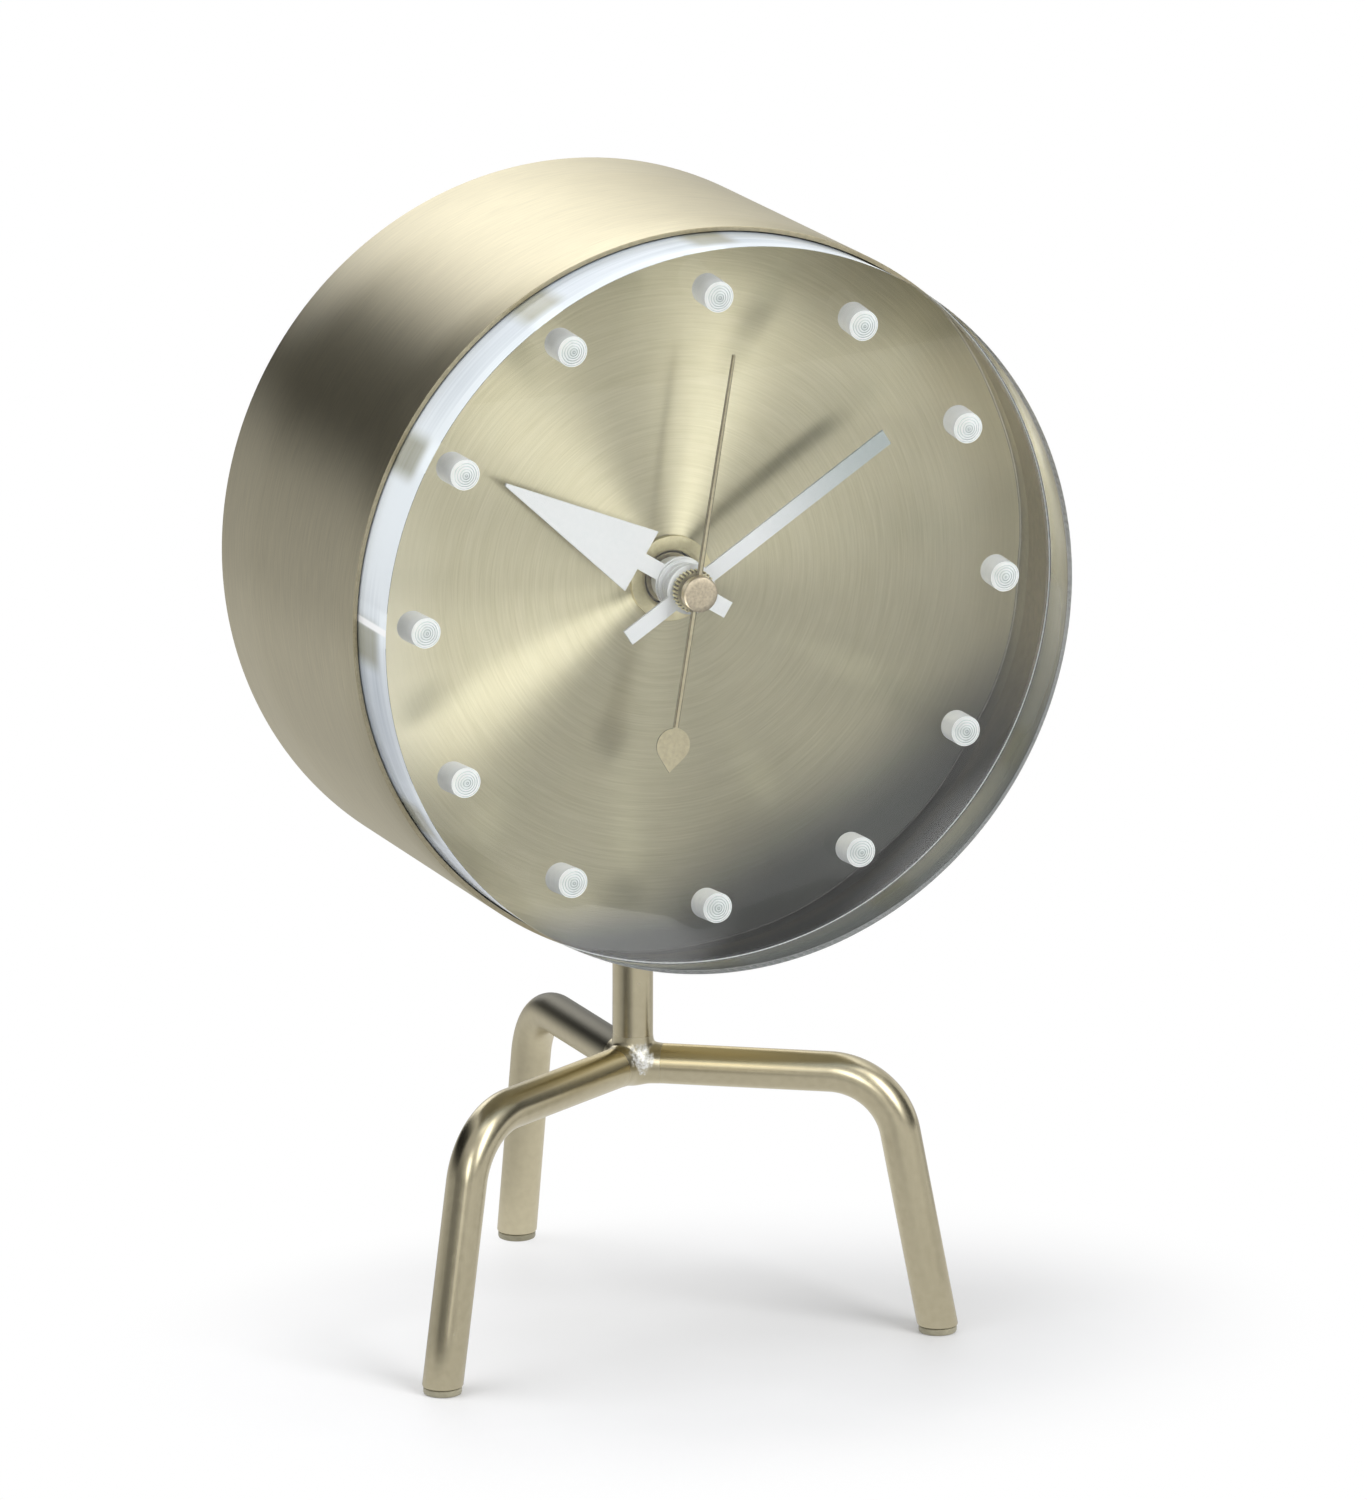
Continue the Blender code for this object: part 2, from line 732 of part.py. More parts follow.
def second_cap(axis, brass):
    """Round cap over the second hand's pin, hollow behind for the pin's end."""
    front = cap_back + cap_height
    profile = [
        (0, cap_back + cap_bore_depth),
        (second_hub_bore, cap_back + cap_bore_depth),
        (second_hub_bore, cap_back),
        (cap_radius, cap_back),
        (cap_radius, front - cap_edge_break),
        (cap_radius - cap_edge_break, front),
        (0, front),
    ]
    return add_piece("second_cap", turn_profile(profile, small_sides, False), brass, axis)


def second_pin(axis, steel):
    profile = disc_profile(second_pin_radius, shaft_back, cap_back + cap_bore_depth - seat_gap)
    return add_piece("second_pin", turn_profile(profile, mark_sides, False), steel, axis)


# Stand: stem, nut, washer, weld and legs, measured up from the floor round the stem's axis


def stem_post(stand, brass, saddles):
    """Rod saddled on the hub, turned down at its top to a stud that passes through the drum's wall."""
    shoulder = drum_axis_height - drum_radius - seat_gap
    top = stem_nut_low + stem_nut_height + stud_above_nut
    profile = [
        (0, hub_height),
        (rod_radius, hub_height),
        (rod_radius, shoulder),
        (stud_radius, shoulder),
        (stud_radius, top),
        (0, top),
    ]
    bm = turn_profile(profile, small_sides, False)
    post = add_piece("stem_post", bm, brass, stand, rotation=(0.0, 0.0, stem_twist))
    for saddle in saddles:
        combine(post, saddle, "DIFFERENCE")
    return post


def stem_fixings(stand, steel):
    """Washer and six-sided nut on the stud, inside the drum."""
    washer_top = stem_washer_low + stem_washer_thickness
    washer = ring_profile(stud_hole_radius, stem_washer_radius, stem_washer_low, washer_top)
    add_piece("stem_washer", turn_profile(washer, small_sides), steel, stand)
    outlines = [circle_points(stem_nut_corner_radius, 6), circle_points(stud_hole_radius, small_sides)]
    nut = extrude_outlines(outlines, stem_nut_low, stem_nut_low + stem_nut_height)
    add_piece("stem_nut", nut, steel, stand)


def leg_path():
    """Centre line of a leg in its upright plane: out from the hub, round the bend, down past its foot."""
    hub = Vector((0.0, hub_height))
    corner = Vector((leg_corner_radius, leg_corner_height))
    foot = Vector((foot_radius, leg_end_height))
    out = (corner - hub).normalized()
    down = (foot - corner).normalized()
    turn = out.angle(down)
    trim = leg_bend_radius * math.tan(turn / 2)
    start = corner - out * trim
    normal = Vector((out.y, -out.x))
    centre = start + normal * leg_bend_radius
    first = math.atan2(-normal.y, -normal.x)
    arc = arc_points(centre, leg_bend_radius, first, first - turn, bend_steps)
    return [hub, *(Vector(point) for point in arc), foot + down * 2 * cut_overrun]


def sweep_rod(path, radius, twist=0.0):
    """A round rod along a path in the XZ plane, with flat ends."""
    bm = bmesh.new()
    rings = []
    for i, point in enumerate(path):
        before = path[max(i - 1, 0)]
        after = path[min(i + 1, len(path) - 1)]
        into = (point - before).normalized() if i else (after - point).normalized()
        out = (after - point).normalized() if i + 1 < len(path) else into
        along = (into + out).normalized()
        across = Vector((-along.y, along.x)) / along.dot(out)
        rings.append(
            [
                bm.verts.new((point.x + across.x * a, b, point.y + across.y * a))
                for a, b in circle_points(radius, rod_sides, twist)
            ]
        )
    for near, far in zip(rings, rings[1:]):
        for i in range(rod_sides):
            j = (i + 1) % rod_sides
            bm.faces.new((near[i], near[j], far[j], far[i]))
    bm.faces.new(rings[0])
    bm.faces.new(rings[-1])
    return bm


def slice_off(bm, point, normal):
    """Cut away what lies beyond a plane on its normal's side, and close the cut."""
    whole = bm.verts[:] + bm.edges[:] + bm.faces[:]
    cut = bmesh.ops.bisect_plane(bm, geom=whole, plane_co=point, plane_no=normal, clear_outer=True)
    edges = [item for item in cut["geom_cut"] if isinstance(item, bmesh.types.BMEdge)]
    bmesh.ops.contextual_create(bm, geom=edges)


def legs(stand, brass):
    """Three bent rods, mitred to each other at the hub and cut level over their pads."""
    for name, turn in leg_turns.items():
        bm = sweep_rod(leg_path(), rod_radius)
        slice_off(bm, (0.0, 0.0, leg_end_height), (0.0, 0.0, -1.0))
        for side in (-1, 1):
            away = Vector((-math.sin(math.pi / 3), side * math.cos(math.pi / 3), 0.0))
            slice_off(bm, -away * mitre_gap / 2, away)
        add_piece(name, bm, brass, stand, rotation=(0.0, 0.0, turn - math.pi / 2))


def saddle_tools(stand):
    """The legs' straight runs with their clearance, which shape what is brazed over the hub."""
    tools = []
    hub, bend = leg_path()[:2]
    behind_hub = hub - (bend - hub).normalized() * cut_overrun
    for name, turn in leg_turns.items():
        bm = sweep_rod([behind_hub, bend], rod_radius + seat_gap, saddle_twist)
        tool = add_piece(f"{name}_saddle_tool", bm, None, stand, rotation=(0.0, 0.0, turn - math.pi / 2))
        tools.append(tool)
    return tools


def foot_pads(stand, soft):
    for name, turn in leg_turns.items():
        place = (foot_radius * math.sin(turn), -foot_radius * math.cos(turn), 0.0)
        bm = turn_profile(disc_profile(rod_radius, 0.0, pad_thickness), small_sides, False)
        add_piece(name.replace("leg", "pad"), bm, soft, stand, location=place)


def weld_bead(stand, silver, saddles):
    """Fillet of braze round the stem's foot, saddled on the three legs."""
    inner = rod_radius + seat_gap
    high = hub_height + rod_radius + seat_gap
    profile = [
        (inner, high - bead_depth),
        (inner + bead_width, high - bead_depth),
        (inner + bead_width, high),
        (inner, high + bead_height),
    ]
    bm = turn_profile(profile, small_sides)
    bead = add_piece("weld_bead", bm, silver, stand, rotation=(0.0, 0.0, stem_twist))
    for saddle in saddles:
        combine(bead, saddle, "DIFFERENCE")
    return bead


def main():
    clear_scene()
    drum_brass = make_material("drum_brass", (0.55, 0.48, 0.33), 0.32, 1.0)
    dial_brass = make_material("dial_brass", (0.66, 0.61, 0.45), 0.28, 1.0)
    rod_brass = make_material("rod_brass", (0.58, 0.51, 0.36), 0.30, 1.0)
    hand_brass = make_material("hand_brass", (0.64, 0.55, 0.38), 0.35, 1.0)
    inner_brass = make_material("inner_brass", (0.42, 0.36, 0.26), 0.45, 1.0)
    clear_acrylic = make_material("clear_acrylic", (0.96, 0.98, 0.98), 0.0, 0.0, transmission=1.0)
    white_lacquer = make_material("white_lacquer", (0.90, 0.91, 0.92), 0.35, 0.0)
    black_plastic = make_material("black_plastic", (0.02, 0.02, 0.022), 0.45, 0.0)
    grey_plastic = make_material("grey_plastic", (0.30, 0.30, 0.31), 0.45, 0.0)
    bright_steel = make_material("bright_steel", (0.62, 0.62, 0.63), 0.30, 1.0)
    cell_jacket = make_material("cell_jacket", (0.10, 0.12, 0.15), 0.35, 0.2)
    weld_silver = make_material("weld_silver", (0.75, 0.76, 0.74), 0.35, 1.0)
    soft_clear = make_material("soft_clear", (0.85, 0.87, 0.86), 0.40, 0.0)
    dark_rubber = make_material("dark_rubber", (0.03, 0.03, 0.03), 0.80, 0.0)

    head = add_frame("head", (0.0, dial_y, drum_axis_height), rotation=(math.pi / 2, 0.0, 0.0))
    drum_shell(head, drum_brass)
    crystal(head, clear_acrylic)
    spacer_sleeve(head, inner_brass)
    dial_plate(head, dial_brass)
    dial_retainer(head, inner_brass)
    dial_nut(head, hand_brass)
    dial_washer(head, dark_rubber)
    movement_neck(head, hand_brass)
    movement_base(head, black_plastic)
    movement_cover(head, black_plastic)
    battery_cell(head, cell_jacket)
    battery_contacts(head, bright_steel)
    setting_knob(head, grey_plastic)
    rear_cover(head, drum_brass)
    cover_lugs(head, inner_brass)

    hour_axis = add_frame("hour_axis", (0.0, 0.0, 0.0), rotation=(0.0, 0.0, -hour_turn), parent=head)
    hour_hand(hour_axis, white_lacquer)
    hour_tube(hour_axis, hand_brass)
    minute_axis = add_frame("minute_axis", (0.0, 0.0, 0.0), rotation=(0.0, 0.0, -minute_turn), parent=head)
    minute_hand(minute_axis, white_lacquer)
    minute_nut(minute_axis, hand_brass)
    minute_shaft(minute_axis, bright_steel)
    second_axis = add_frame("second_axis", (0.0, 0.0, 0.0), rotation=(0.0, 0.0, -second_turn), parent=head)
    second_hand(second_axis, hand_brass)
    second_cap(second_axis, hand_brass)
    second_pin(second_axis, bright_steel)

    stand = add_frame("stand", (0.0, stem_y, 0.0))
    legs(stand, rod_brass)
    saddles = saddle_tools(stand)
    stem_post(stand, rod_brass, saddles)
    weld_bead(stand, weld_silver, saddles)
    stem_fixings(stand, bright_steel)
    foot_pads(stand, soft_clear)


main()
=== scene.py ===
import json
import math
from functools import reduce

import bmesh
import bpy
from mathutils import Matrix, Vector, geometry


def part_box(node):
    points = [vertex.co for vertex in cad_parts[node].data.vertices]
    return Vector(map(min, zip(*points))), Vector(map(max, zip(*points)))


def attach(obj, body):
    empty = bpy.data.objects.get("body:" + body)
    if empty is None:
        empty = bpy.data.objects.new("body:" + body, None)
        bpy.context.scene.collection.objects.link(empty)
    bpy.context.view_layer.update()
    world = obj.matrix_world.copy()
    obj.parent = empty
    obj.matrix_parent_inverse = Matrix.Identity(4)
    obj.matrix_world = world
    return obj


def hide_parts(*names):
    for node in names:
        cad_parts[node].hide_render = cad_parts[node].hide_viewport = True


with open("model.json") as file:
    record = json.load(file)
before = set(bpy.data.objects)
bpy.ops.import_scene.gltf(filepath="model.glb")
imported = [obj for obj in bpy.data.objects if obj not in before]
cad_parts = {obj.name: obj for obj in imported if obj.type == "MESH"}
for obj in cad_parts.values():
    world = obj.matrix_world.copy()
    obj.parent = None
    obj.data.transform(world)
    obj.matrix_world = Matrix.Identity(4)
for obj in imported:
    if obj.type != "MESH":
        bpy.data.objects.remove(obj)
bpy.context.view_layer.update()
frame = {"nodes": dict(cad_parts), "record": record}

mm = 0.001
quarter = math.pi / 2

# Sizes in mm. Heights count from the dial's face towards the viewer, and those of the legs from the floor.
DRUM_R, DRUM_INNER, DRUM_FRONT, DRUM_BACK = 52.5, 51.9, 17.0, -34.0
SLEEVE_R, SLEEVE_INNER = 51.6, 51.1
CRYSTAL_BACK, CRYSTAL_FRONT, CRYSTAL_R = 12.3, 27.3, 51.65
MARK_RING, MARK_R, MARK_END, MARK_CONE = 43.2, 2.15, CRYSTAL_BACK + 6.8, 0.75
COVER_FRONT, COVER_BACK, HOUSING_BACK, KNOB_BACK = -32.0, -33.0, -18.9, -22.7
KNOB_RISE, CELL_DROP, CELL_HEIGHT, CELL_HALF, CELL_R = 13.0, 19.15, -11.65, 25.25, 7.25
ROD_R, HUB_HEIGHT, LEG_CORNER, LEG_BEND, LEG_FOOT, FOOT_RADIUS = 2.9, 38.4, (36.8, 37.9), 10.5, 1.1, 44.0
COLLAR_TEETH, DIAL_SHEET = 30, 1.0

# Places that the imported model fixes, in metres
_, dial_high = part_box("dial_plate")
drum_low, drum_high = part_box("drum_shell")
dial_y = dial_high.y - DIAL_SHEET * mm
axis_z = (drum_low.z + drum_high.z) / 2
head = Vector((0.0, dial_y, axis_z))
pad_low, pad_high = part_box("pad_rear")
stem_y = (pad_low.y + pad_high.y) / 2 - FOOT_RADIUS * mm
stand_at = Vector((0.0, stem_y, 0.0))

# The hands' angles from twelve: 10:04, and the second hand just past twelve
hour_angle, minute_angle, second_angle = (math.radians(degrees) for degrees in (302.1, 57.0, 9.4))


# ---- meshes ----


def circle(radius, sides, centre=(0.0, 0.0)):
    turns = [2 * math.pi * i / sides for i in range(sides)]
    return [(centre[0] + radius * math.cos(t), centre[1] + radius * math.sin(t)) for t in turns]


def arc(centre, radius, start, end, steps):
    turns = [start + (end - start) * i / steps for i in range(steps + 1)]
    return [(centre[0] + radius * math.cos(t), centre[1] + radius * math.sin(t)) for t in turns]


def finish_mesh(name, bm, materials, location=(0, 0, 0), sharp=30.0, rotation_y=0.0):
    """Object from a bmesh, smooth apart from edges over the sharp angle, in degrees."""
    bmesh.ops.recalc_face_normals(bm, faces=bm.faces)
    mesh = bpy.data.meshes.new(name)
    bm.to_mesh(mesh)
    bm.free()
    mesh.shade_smooth()
    mesh.set_sharp_from_angle(angle=math.radians(sharp))
    piece = bpy.data.objects.new(name, mesh)
    for material in materials:
        mesh.materials.append(material)
    piece.location = location
    piece.rotation_euler = (0.0, rotation_y, 0.0)
    bpy.context.scene.collection.objects.link(piece)
    return piece


def paint(piece, index, chosen):
    """Give a material, by its number, to the faces that the test chooses."""
    for face in piece.data.polygons:
        if chosen(face):
            face.material_index = index


def from_axis(face):
    """Distance of a face's centre from its piece's y axis, in mm."""
    return math.hypot(face.center.x, face.center.z) / mm


def bridge(bm, a, b, material=0):
    """Faces between two closed rings of as many points."""
    for i in range(len(a)):
        j = (i + 1) % len(a)
        bm.faces.new((a[i], a[j], b[j], b[i])).material_index = material


def turned(profile, sides, closed=True, upright=False):
    """Revolve (radius, height) points, in mm. Height runs towards the viewer, or up when upright."""
    bm = bmesh.new()
    rings = []
    for radius, height in profile:
        spots = circle(radius * mm, sides) if radius else [(0.0, 0.0)]
        h = height * mm
        rings.append([bm.verts.new((x, z, h) if upright else (x, -h, z)) for x, z in spots])
    for a, b in zip(rings, rings[1:] + rings[:1] if closed else rings[1:]):
        if len(a) == len(b) > 1:
            bridge(bm, a, b)
        elif len(a) != len(b):
            for i in range(sides):
                j = (i + 1) % sides
                bm.faces.new((a[0], b[j], b[i]) if len(a) == 1 else (a[i], a[j], b[0]))
    return bm


def rounded(points, radius, steps=3):
    """Replace the corners of an open (radius, height) profile by small curves."""
    out = [points[0]]
    for a, b, c in zip(points, points[1:], points[2:]):
        a, b, c = Vector(a), Vector(b), Vector(c)
        u, v = a - b, c - b
        r = min(radius, u.length * 0.45, v.length * 0.45)
        p, q = b + u.normalized() * r, b + v.normalized() * r
        for t in (k / steps for k in range(steps + 1)):
            out.append(tuple(p * (1 - t) ** 2 + b * 2 * t * (1 - t) + q * t**2))
    out.append(points[-1])
    return out


def filled(outlines):
    """Triangles between closed outlines, and the numbers of each outline's points."""
    points, loops = [], []
    for outline in outlines:
        loops.append(list(range(len(points), len(points) + len(outline))))
        points += [Vector(p) for p in outline]
    return geometry.delaunay_2d_cdt(points, [], loops, 2, 1e-6), loops


def plate(outlines, low, high, bevel=0.0):
    """Flat sheet between two heights, in mm, with a small chamfer round its front edges."""
    fill, _ = filled(outlines)
    bm = bmesh.new()
    front = [bm.verts.new((p.x * mm, -high * mm, p.y * mm)) for p in fill[0]]
    back = [bm.verts.new((p.x * mm, -low * mm, p.y * mm)) for p in fill[0]]
    for face in fill[2]:
        bm.faces.new([front[i] for i in face])
        bm.faces.new([back[i] for i in reversed(face)])
    index = {v: i for i, v in enumerate(front)}
    for e in [e for e in bm.edges if len(e.link_faces) == 1 and e.verts[0] in index]:
        i, j = index[e.verts[0]], index[e.verts[1]]
        bm.faces.new((front[i], front[j], back[j], back[i]))
    bmesh.ops.recalc_face_normals(bm, faces=bm.faces)
    if bevel:
        corners = [e for e in bm.edges if len(e.link_faces) == 2 and abs(e.calc_face_angle(0.0)) > 1.2]
        level = -(high - 1e-4) * mm + 1e-9
        painted_light_rim = [e for e in corners if abs(e.verts[0].co.y - e.verts[1].co.y) < 1e-9 and e.verts[0].co.y < level]
        bmesh.ops.bevel(bm, geom=painted_light_rim, offset=bevel * mm, segments=2, profile=0.5, affect="EDGES", clamp_overlap=True)
    return bm


def sweep(path, radius, sides):
    """Round rod through 3-D points, its cross-section carried along without a twist."""
    bm = bmesh.new()
    rings = []
    tangents = [(path[min(i + 1, len(path) - 1)] - path[max(i - 1, 0)]).normalized() for i in range(len(path))]
    normal = tangents[0].orthogonal().normalized()
    turns = [2 * math.pi * k / sides for k in range(sides)]
    for point, t in zip(path, tangents):
        normal = (normal - t * normal.dot(t)).normalized()
        side = t.cross(normal)
        rings.append([bm.verts.new(point + (normal * math.cos(w) + side * math.sin(w)) * radius) for w in turns])
    for a, b in zip(rings, rings[1:]):
        bridge(bm, a, b)
    bm.faces.new(list(reversed(rings[0])))
    bm.faces.new(rings[-1])
    return bm


# ---- node materials ----


class Nodes:
    """Short calls for the node tree of a material, or of the world."""

    def __init__(self, name, world=False):
        self.material = bpy.data.worlds.new(name) if world else bpy.data.materials.new(name)
        self.material.use_nodes = True
        self.tree = self.material.node_tree
        self.shader = self.tree.nodes["Background" if world else "Principled BSDF"]
        self.out = self.tree.nodes["World Output" if world else "Material Output"]

    def node(self, kind, inputs=None, **values):
        """New node with its settings, and with its inputs by name or number."""
        made = self.tree.nodes.new(kind)
        for key, value in values.items():
            setattr(made, key, value)
        for key, value in (inputs or {}).items():
            self.feed(made.inputs[key], value)
        return made

    def link(self, a, b):
        self.tree.links.new(a, b)

    def feed(self, socket, value):
        """Set a socket to a number or a colour, or link another socket to it."""
        if isinstance(value, tuple):
            socket.default_value = (*value, 1.0)
        elif isinstance(value, (int, float)):
            socket.default_value = value
        else:
            self.link(value, socket)

    def coords(self, kind="Object"):
        return self.node("ShaderNodeTexCoord").outputs[kind]

    def math(self, operation, *values, clamp=False):
        return self.node("ShaderNodeMath", dict(enumerate(values)), operation=operation, use_clamp=clamp).outputs[0]

    def plus(self, *values):
        return reduce(lambda a, b: self.math("ADD", a, b), values)

    def times(self, *values):
        return reduce(lambda a, b: self.math("MULTIPLY", a, b), values)

    def minus(self, a, b, clamp=False):
        return self.math("SUBTRACT", a, b, clamp=clamp)

    def length(self, *parts):
        return self.math("SQRT", self.plus(*[self.times(part, part) for part in parts]))

    def parts(self, vector):
        return tuple(self.node("ShaderNodeSeparateXYZ", {0: vector}).outputs)

    def spread(self, value, low, high, start=0.0, end=1.0, kind="LINEAR"):
        """Straight line from low at start to high at end."""
        inputs = {"Value": value, "From Min": start, "From Max": end, "To Min": low, "To Max": high}
        return self.node("ShaderNodeMapRange", inputs, interpolation_type=kind).outputs["Result"]

    def step(self, value, start, end, low=0.0, high=1.0):
        """Smooth step from low at start to high at end; start may be above end."""
        if start > end:
            start, end, low, high = end, start, high, low
        return self.spread(value, low, high, start, end, "SMOOTHSTEP")

    def spot(self, x, z, centre, radii, tilt, level):
        """Soft oval patch of light in a plane, its long side turned from the z axis by tilt degrees."""
        c, s = math.cos(math.radians(tilt)), math.sin(math.radians(tilt))
        u, v = self.minus(x, centre[0]), self.minus(z, centre[1])
        across = self.minus(self.times(u, c / radii[0]), self.times(v, s / radii[0]))
        along = self.plus(self.times(u, s / radii[1]), self.times(v, c / radii[1]))
        return self.step(self.length(across, along), 1.4, 0.6, 0.0, level)

    def scale(self, vector, factors):
        made = self.node("ShaderNodeMapping", {"Vector": vector})
        made.inputs["Scale"].default_value = factors
        return made.outputs[0]

    def noise(self, vector, scale=1.0, detail=2.0, roughness=0.5):
        inputs = {"Vector": vector, "Scale": scale, "Detail": detail, "Roughness": roughness}
        return self.node("ShaderNodeTexNoise", inputs).outputs["Fac"]

    def ramp(self, factor, stops):
        made = self.node("ShaderNodeValToRGB", {0: factor})
        elements = made.color_ramp.elements
        while len(elements) < len(stops):
            elements.new(0.5)
        for element, (place, colour) in zip(elements, stops):
            element.position = place
            element.color = (*colour, 1.0)
        return made.outputs["Color"]

    def mix(self, factor, a, b):
        """Colour a where the factor is 0, colour b where it is 1."""
        return self.node("ShaderNodeMix", {0: factor, 6: a, 7: b}, data_type="RGBA").outputs[2]

    def choose(self, factor, a, b):
        """Shader node a where the factor is 0, shader node b where it is 1."""
        return self.node("ShaderNodeMixShader", {0: factor, 1: a.outputs[0], 2: b.outputs[0]})

    def bump(self, height, strength, distance=0.02 * mm):
        made = self.node("ShaderNodeBump", {"Strength": strength, "Distance": distance, "Height": height})
        self.link(made.outputs["Normal"], self.shader.inputs["Normal"])
        return made

    def set(self, **values):
        for key, value in values.items():
            self.feed(self.shader.inputs[key.replace("_", " ")], value)


def ring_vector(n, along, across):
    """Coordinates that run fast from ring to ring and slowly round each ring of a face."""
    x, _, z = n.parts(n.coords())
    radius = n.length(x, z)
    join = n.node("ShaderNodeCombineXYZ", {0: n.times(x, along), 1: n.times(radius, across), 2: n.times(z, along)})
    return join.outputs[0], radius


def past_mark(n, x, z):
    """Angle clockwise from twelve, and how far it is past the nearest of the twelve hour marks."""
    angle = n.math("ARCTAN2", x, z)
    nearest = n.math("ROUND", n.times(angle, 6 / math.pi))
    return angle, n.minus(angle, n.times(nearest, math.pi / 6))


def mouth_shade(n, amount):
    """How much painted shade to put towards the lower right of the drum's mouth, where little light reaches."""
    x, _, z = n.parts(n.coords())
    towards = n.minus(n.times(x, 0.48), n.times(z, 0.877))
    return n.times(n.math("MAXIMUM", n.step(towards, 0.031, 0.047), n.step(z, -0.0425, -0.0495)), amount)


# how far the spun dial's rings lean outwards, as a slope
DISH = 0.18


def brushed(name, dark, light, roughness, anisotropic, bump, face=False):
    """Brass with fine lines that run round a drum's wall, or in rings on a face."""
    n = Nodes(name)
    if face:
        fine, radius = ring_vector(n, 170.0, 6500.0)
        wide, _ = ring_vector(n, 90.0, 3200.0)
    else:
        fine = n.scale(n.coords(), (260.0, 6000.0, 260.0))
        wide = n.scale(n.coords(), (150.0, 2600.0, 150.0))
    blend = n.plus(n.times(n.noise(fine, 1.0, 3.0, 0.6), 0.6), n.times(n.noise(wide, 1.0, 2.0, 0.5), 0.4))
    colour = n.ramp(blend, [(0.30, dark), (0.70, light)])
    if face:
        # painted highlight: the dial is painted lighter towards its left edge, and a little towards its right edge
        across = n.parts(n.coords())[0]
        painted_light_rim = n.plus(n.step(across, -0.031, -0.043), n.step(across, 0.034, 0.046, 0.0, 0.4))
        colour = n.mix(painted_light_rim, colour, (1.0, 0.95, 0.72))
        # painted shade: the dial is painted darker and bluer towards the lower right of the mouth
        colour = n.mix(mouth_shade(n, 0.9), colour, (0.13, 0.145, 0.15))
    n.set(Base_Color=colour, Roughness=n.spread(blend, roughness - 0.05, roughness + 0.05))
    n.set(Metallic=1.0, Anisotropic=anisotropic, Anisotropic_Rotation=0.25)
    tangent = n.node("ShaderNodeTangent", direction_type="RADIAL", axis="Y")
    n.link(tangent.outputs[0], n.shader.inputs["Tangent"])
    made = n.bump(blend, bump)
    if face:
        dish = n.node("ShaderNodeBump", {"Strength": 1.0, "Distance": 1.0, "Height": n.times(radius, -DISH)})
        n.link(dish.outputs["Normal"], made.inputs["Normal"])
    return n.material


def satin_metal(name, dark, light, roughness, grain=900.0, bump=0.1, shaded=0.0):
    """Satin metal with a fine uneven grain; shaded is for the walls that stand in the drum's mouth, which get painted
    shade towards the lower right and the front, and painted light towards the top.
    """
    n = Nodes(name)
    fine, wide = n.noise(n.coords(), grain, 3.0, 0.6), n.noise(n.coords(), 60.0, 1.0, 0.5)
    blend = n.plus(n.times(fine, 0.8), n.times(wide, 0.2))
    colour = n.ramp(blend, [(0.36, dark), (0.64, light)])
    if shaded:
        _, y, z = n.parts(n.coords())
        # painted light and shade: lighter towards the top, darker towards the lower right and more so towards the
        # front
        painted_light_top = n.mix(n.step(z, 0.0, 0.034, 0.0, 0.8), colour, (0.64, 0.59, 0.45))
        painted_shade_share = mouth_shade(n, n.step(y, -0.0040, -0.0085, shaded, 0.96))
        colour = n.mix(painted_shade_share, painted_light_top, (0.066, 0.070, 0.075))
    n.set(Base_Color=colour, Roughness=n.spread(blend, roughness - 0.05, roughness + 0.05), Metallic=1.0)
    n.bump(blend, bump)
    return n.material


def solid_finish(name, dark, light, roughness, grain, bump=0.1, coat=0.0):
    """Lacquer, plastic or rubber with a fine texture."""
    n = Nodes(name)
    texture = n.noise(n.coords(), grain, 3.0, 0.6)
    n.set(Base_Color=n.ramp(texture, [(0.3, dark), (0.7, light)]), Coat_Weight=coat)
    n.set(Roughness=n.spread(texture, roughness - 0.06, roughness + 0.06))
    n.bump(texture, bump)
    return n.material


def lacquer_strip(name):
    """White lacquer with painted shade that turns it greyer towards the hand's tip."""
    n = Nodes(name)
    texture = n.noise(n.coords(), 1500.0, 3.0, 0.6)
    _, _, z = n.parts(n.coords())
    # painted shade: greyer towards the tip, over a fine grain
    painted_shade_and_grain = n.plus(n.step(z, 0.034, 0.006), n.times(texture, 0.15))
    n.set(Base_Color=n.ramp(painted_shade_and_grain, [(0.05, (0.44, 0.50, 0.49)), (1.0, (0.90, 0.92, 0.92))]))
    n.set(Roughness=n.spread(texture, 0.34, 0.44), Coat_Weight=0.2)
    n.bump(texture, 0.05)
    return n.material


def clear_finish(name):
    """Polished faces of the clear disc, with a trace of haze."""
    n = Nodes(name)
    haze = n.noise(n.coords(), 260.0, 2.0, 0.5)
    n.set(Base_Color=n.ramp(haze, [(0.3, (0.985, 0.995, 0.995)), (0.7, (1.0, 1.0, 1.0))]))
    n.set(Roughness=n.spread(haze, 0.0, 0.006), Transmission_Weight=1.0, IOR=1.49)
    return n.material


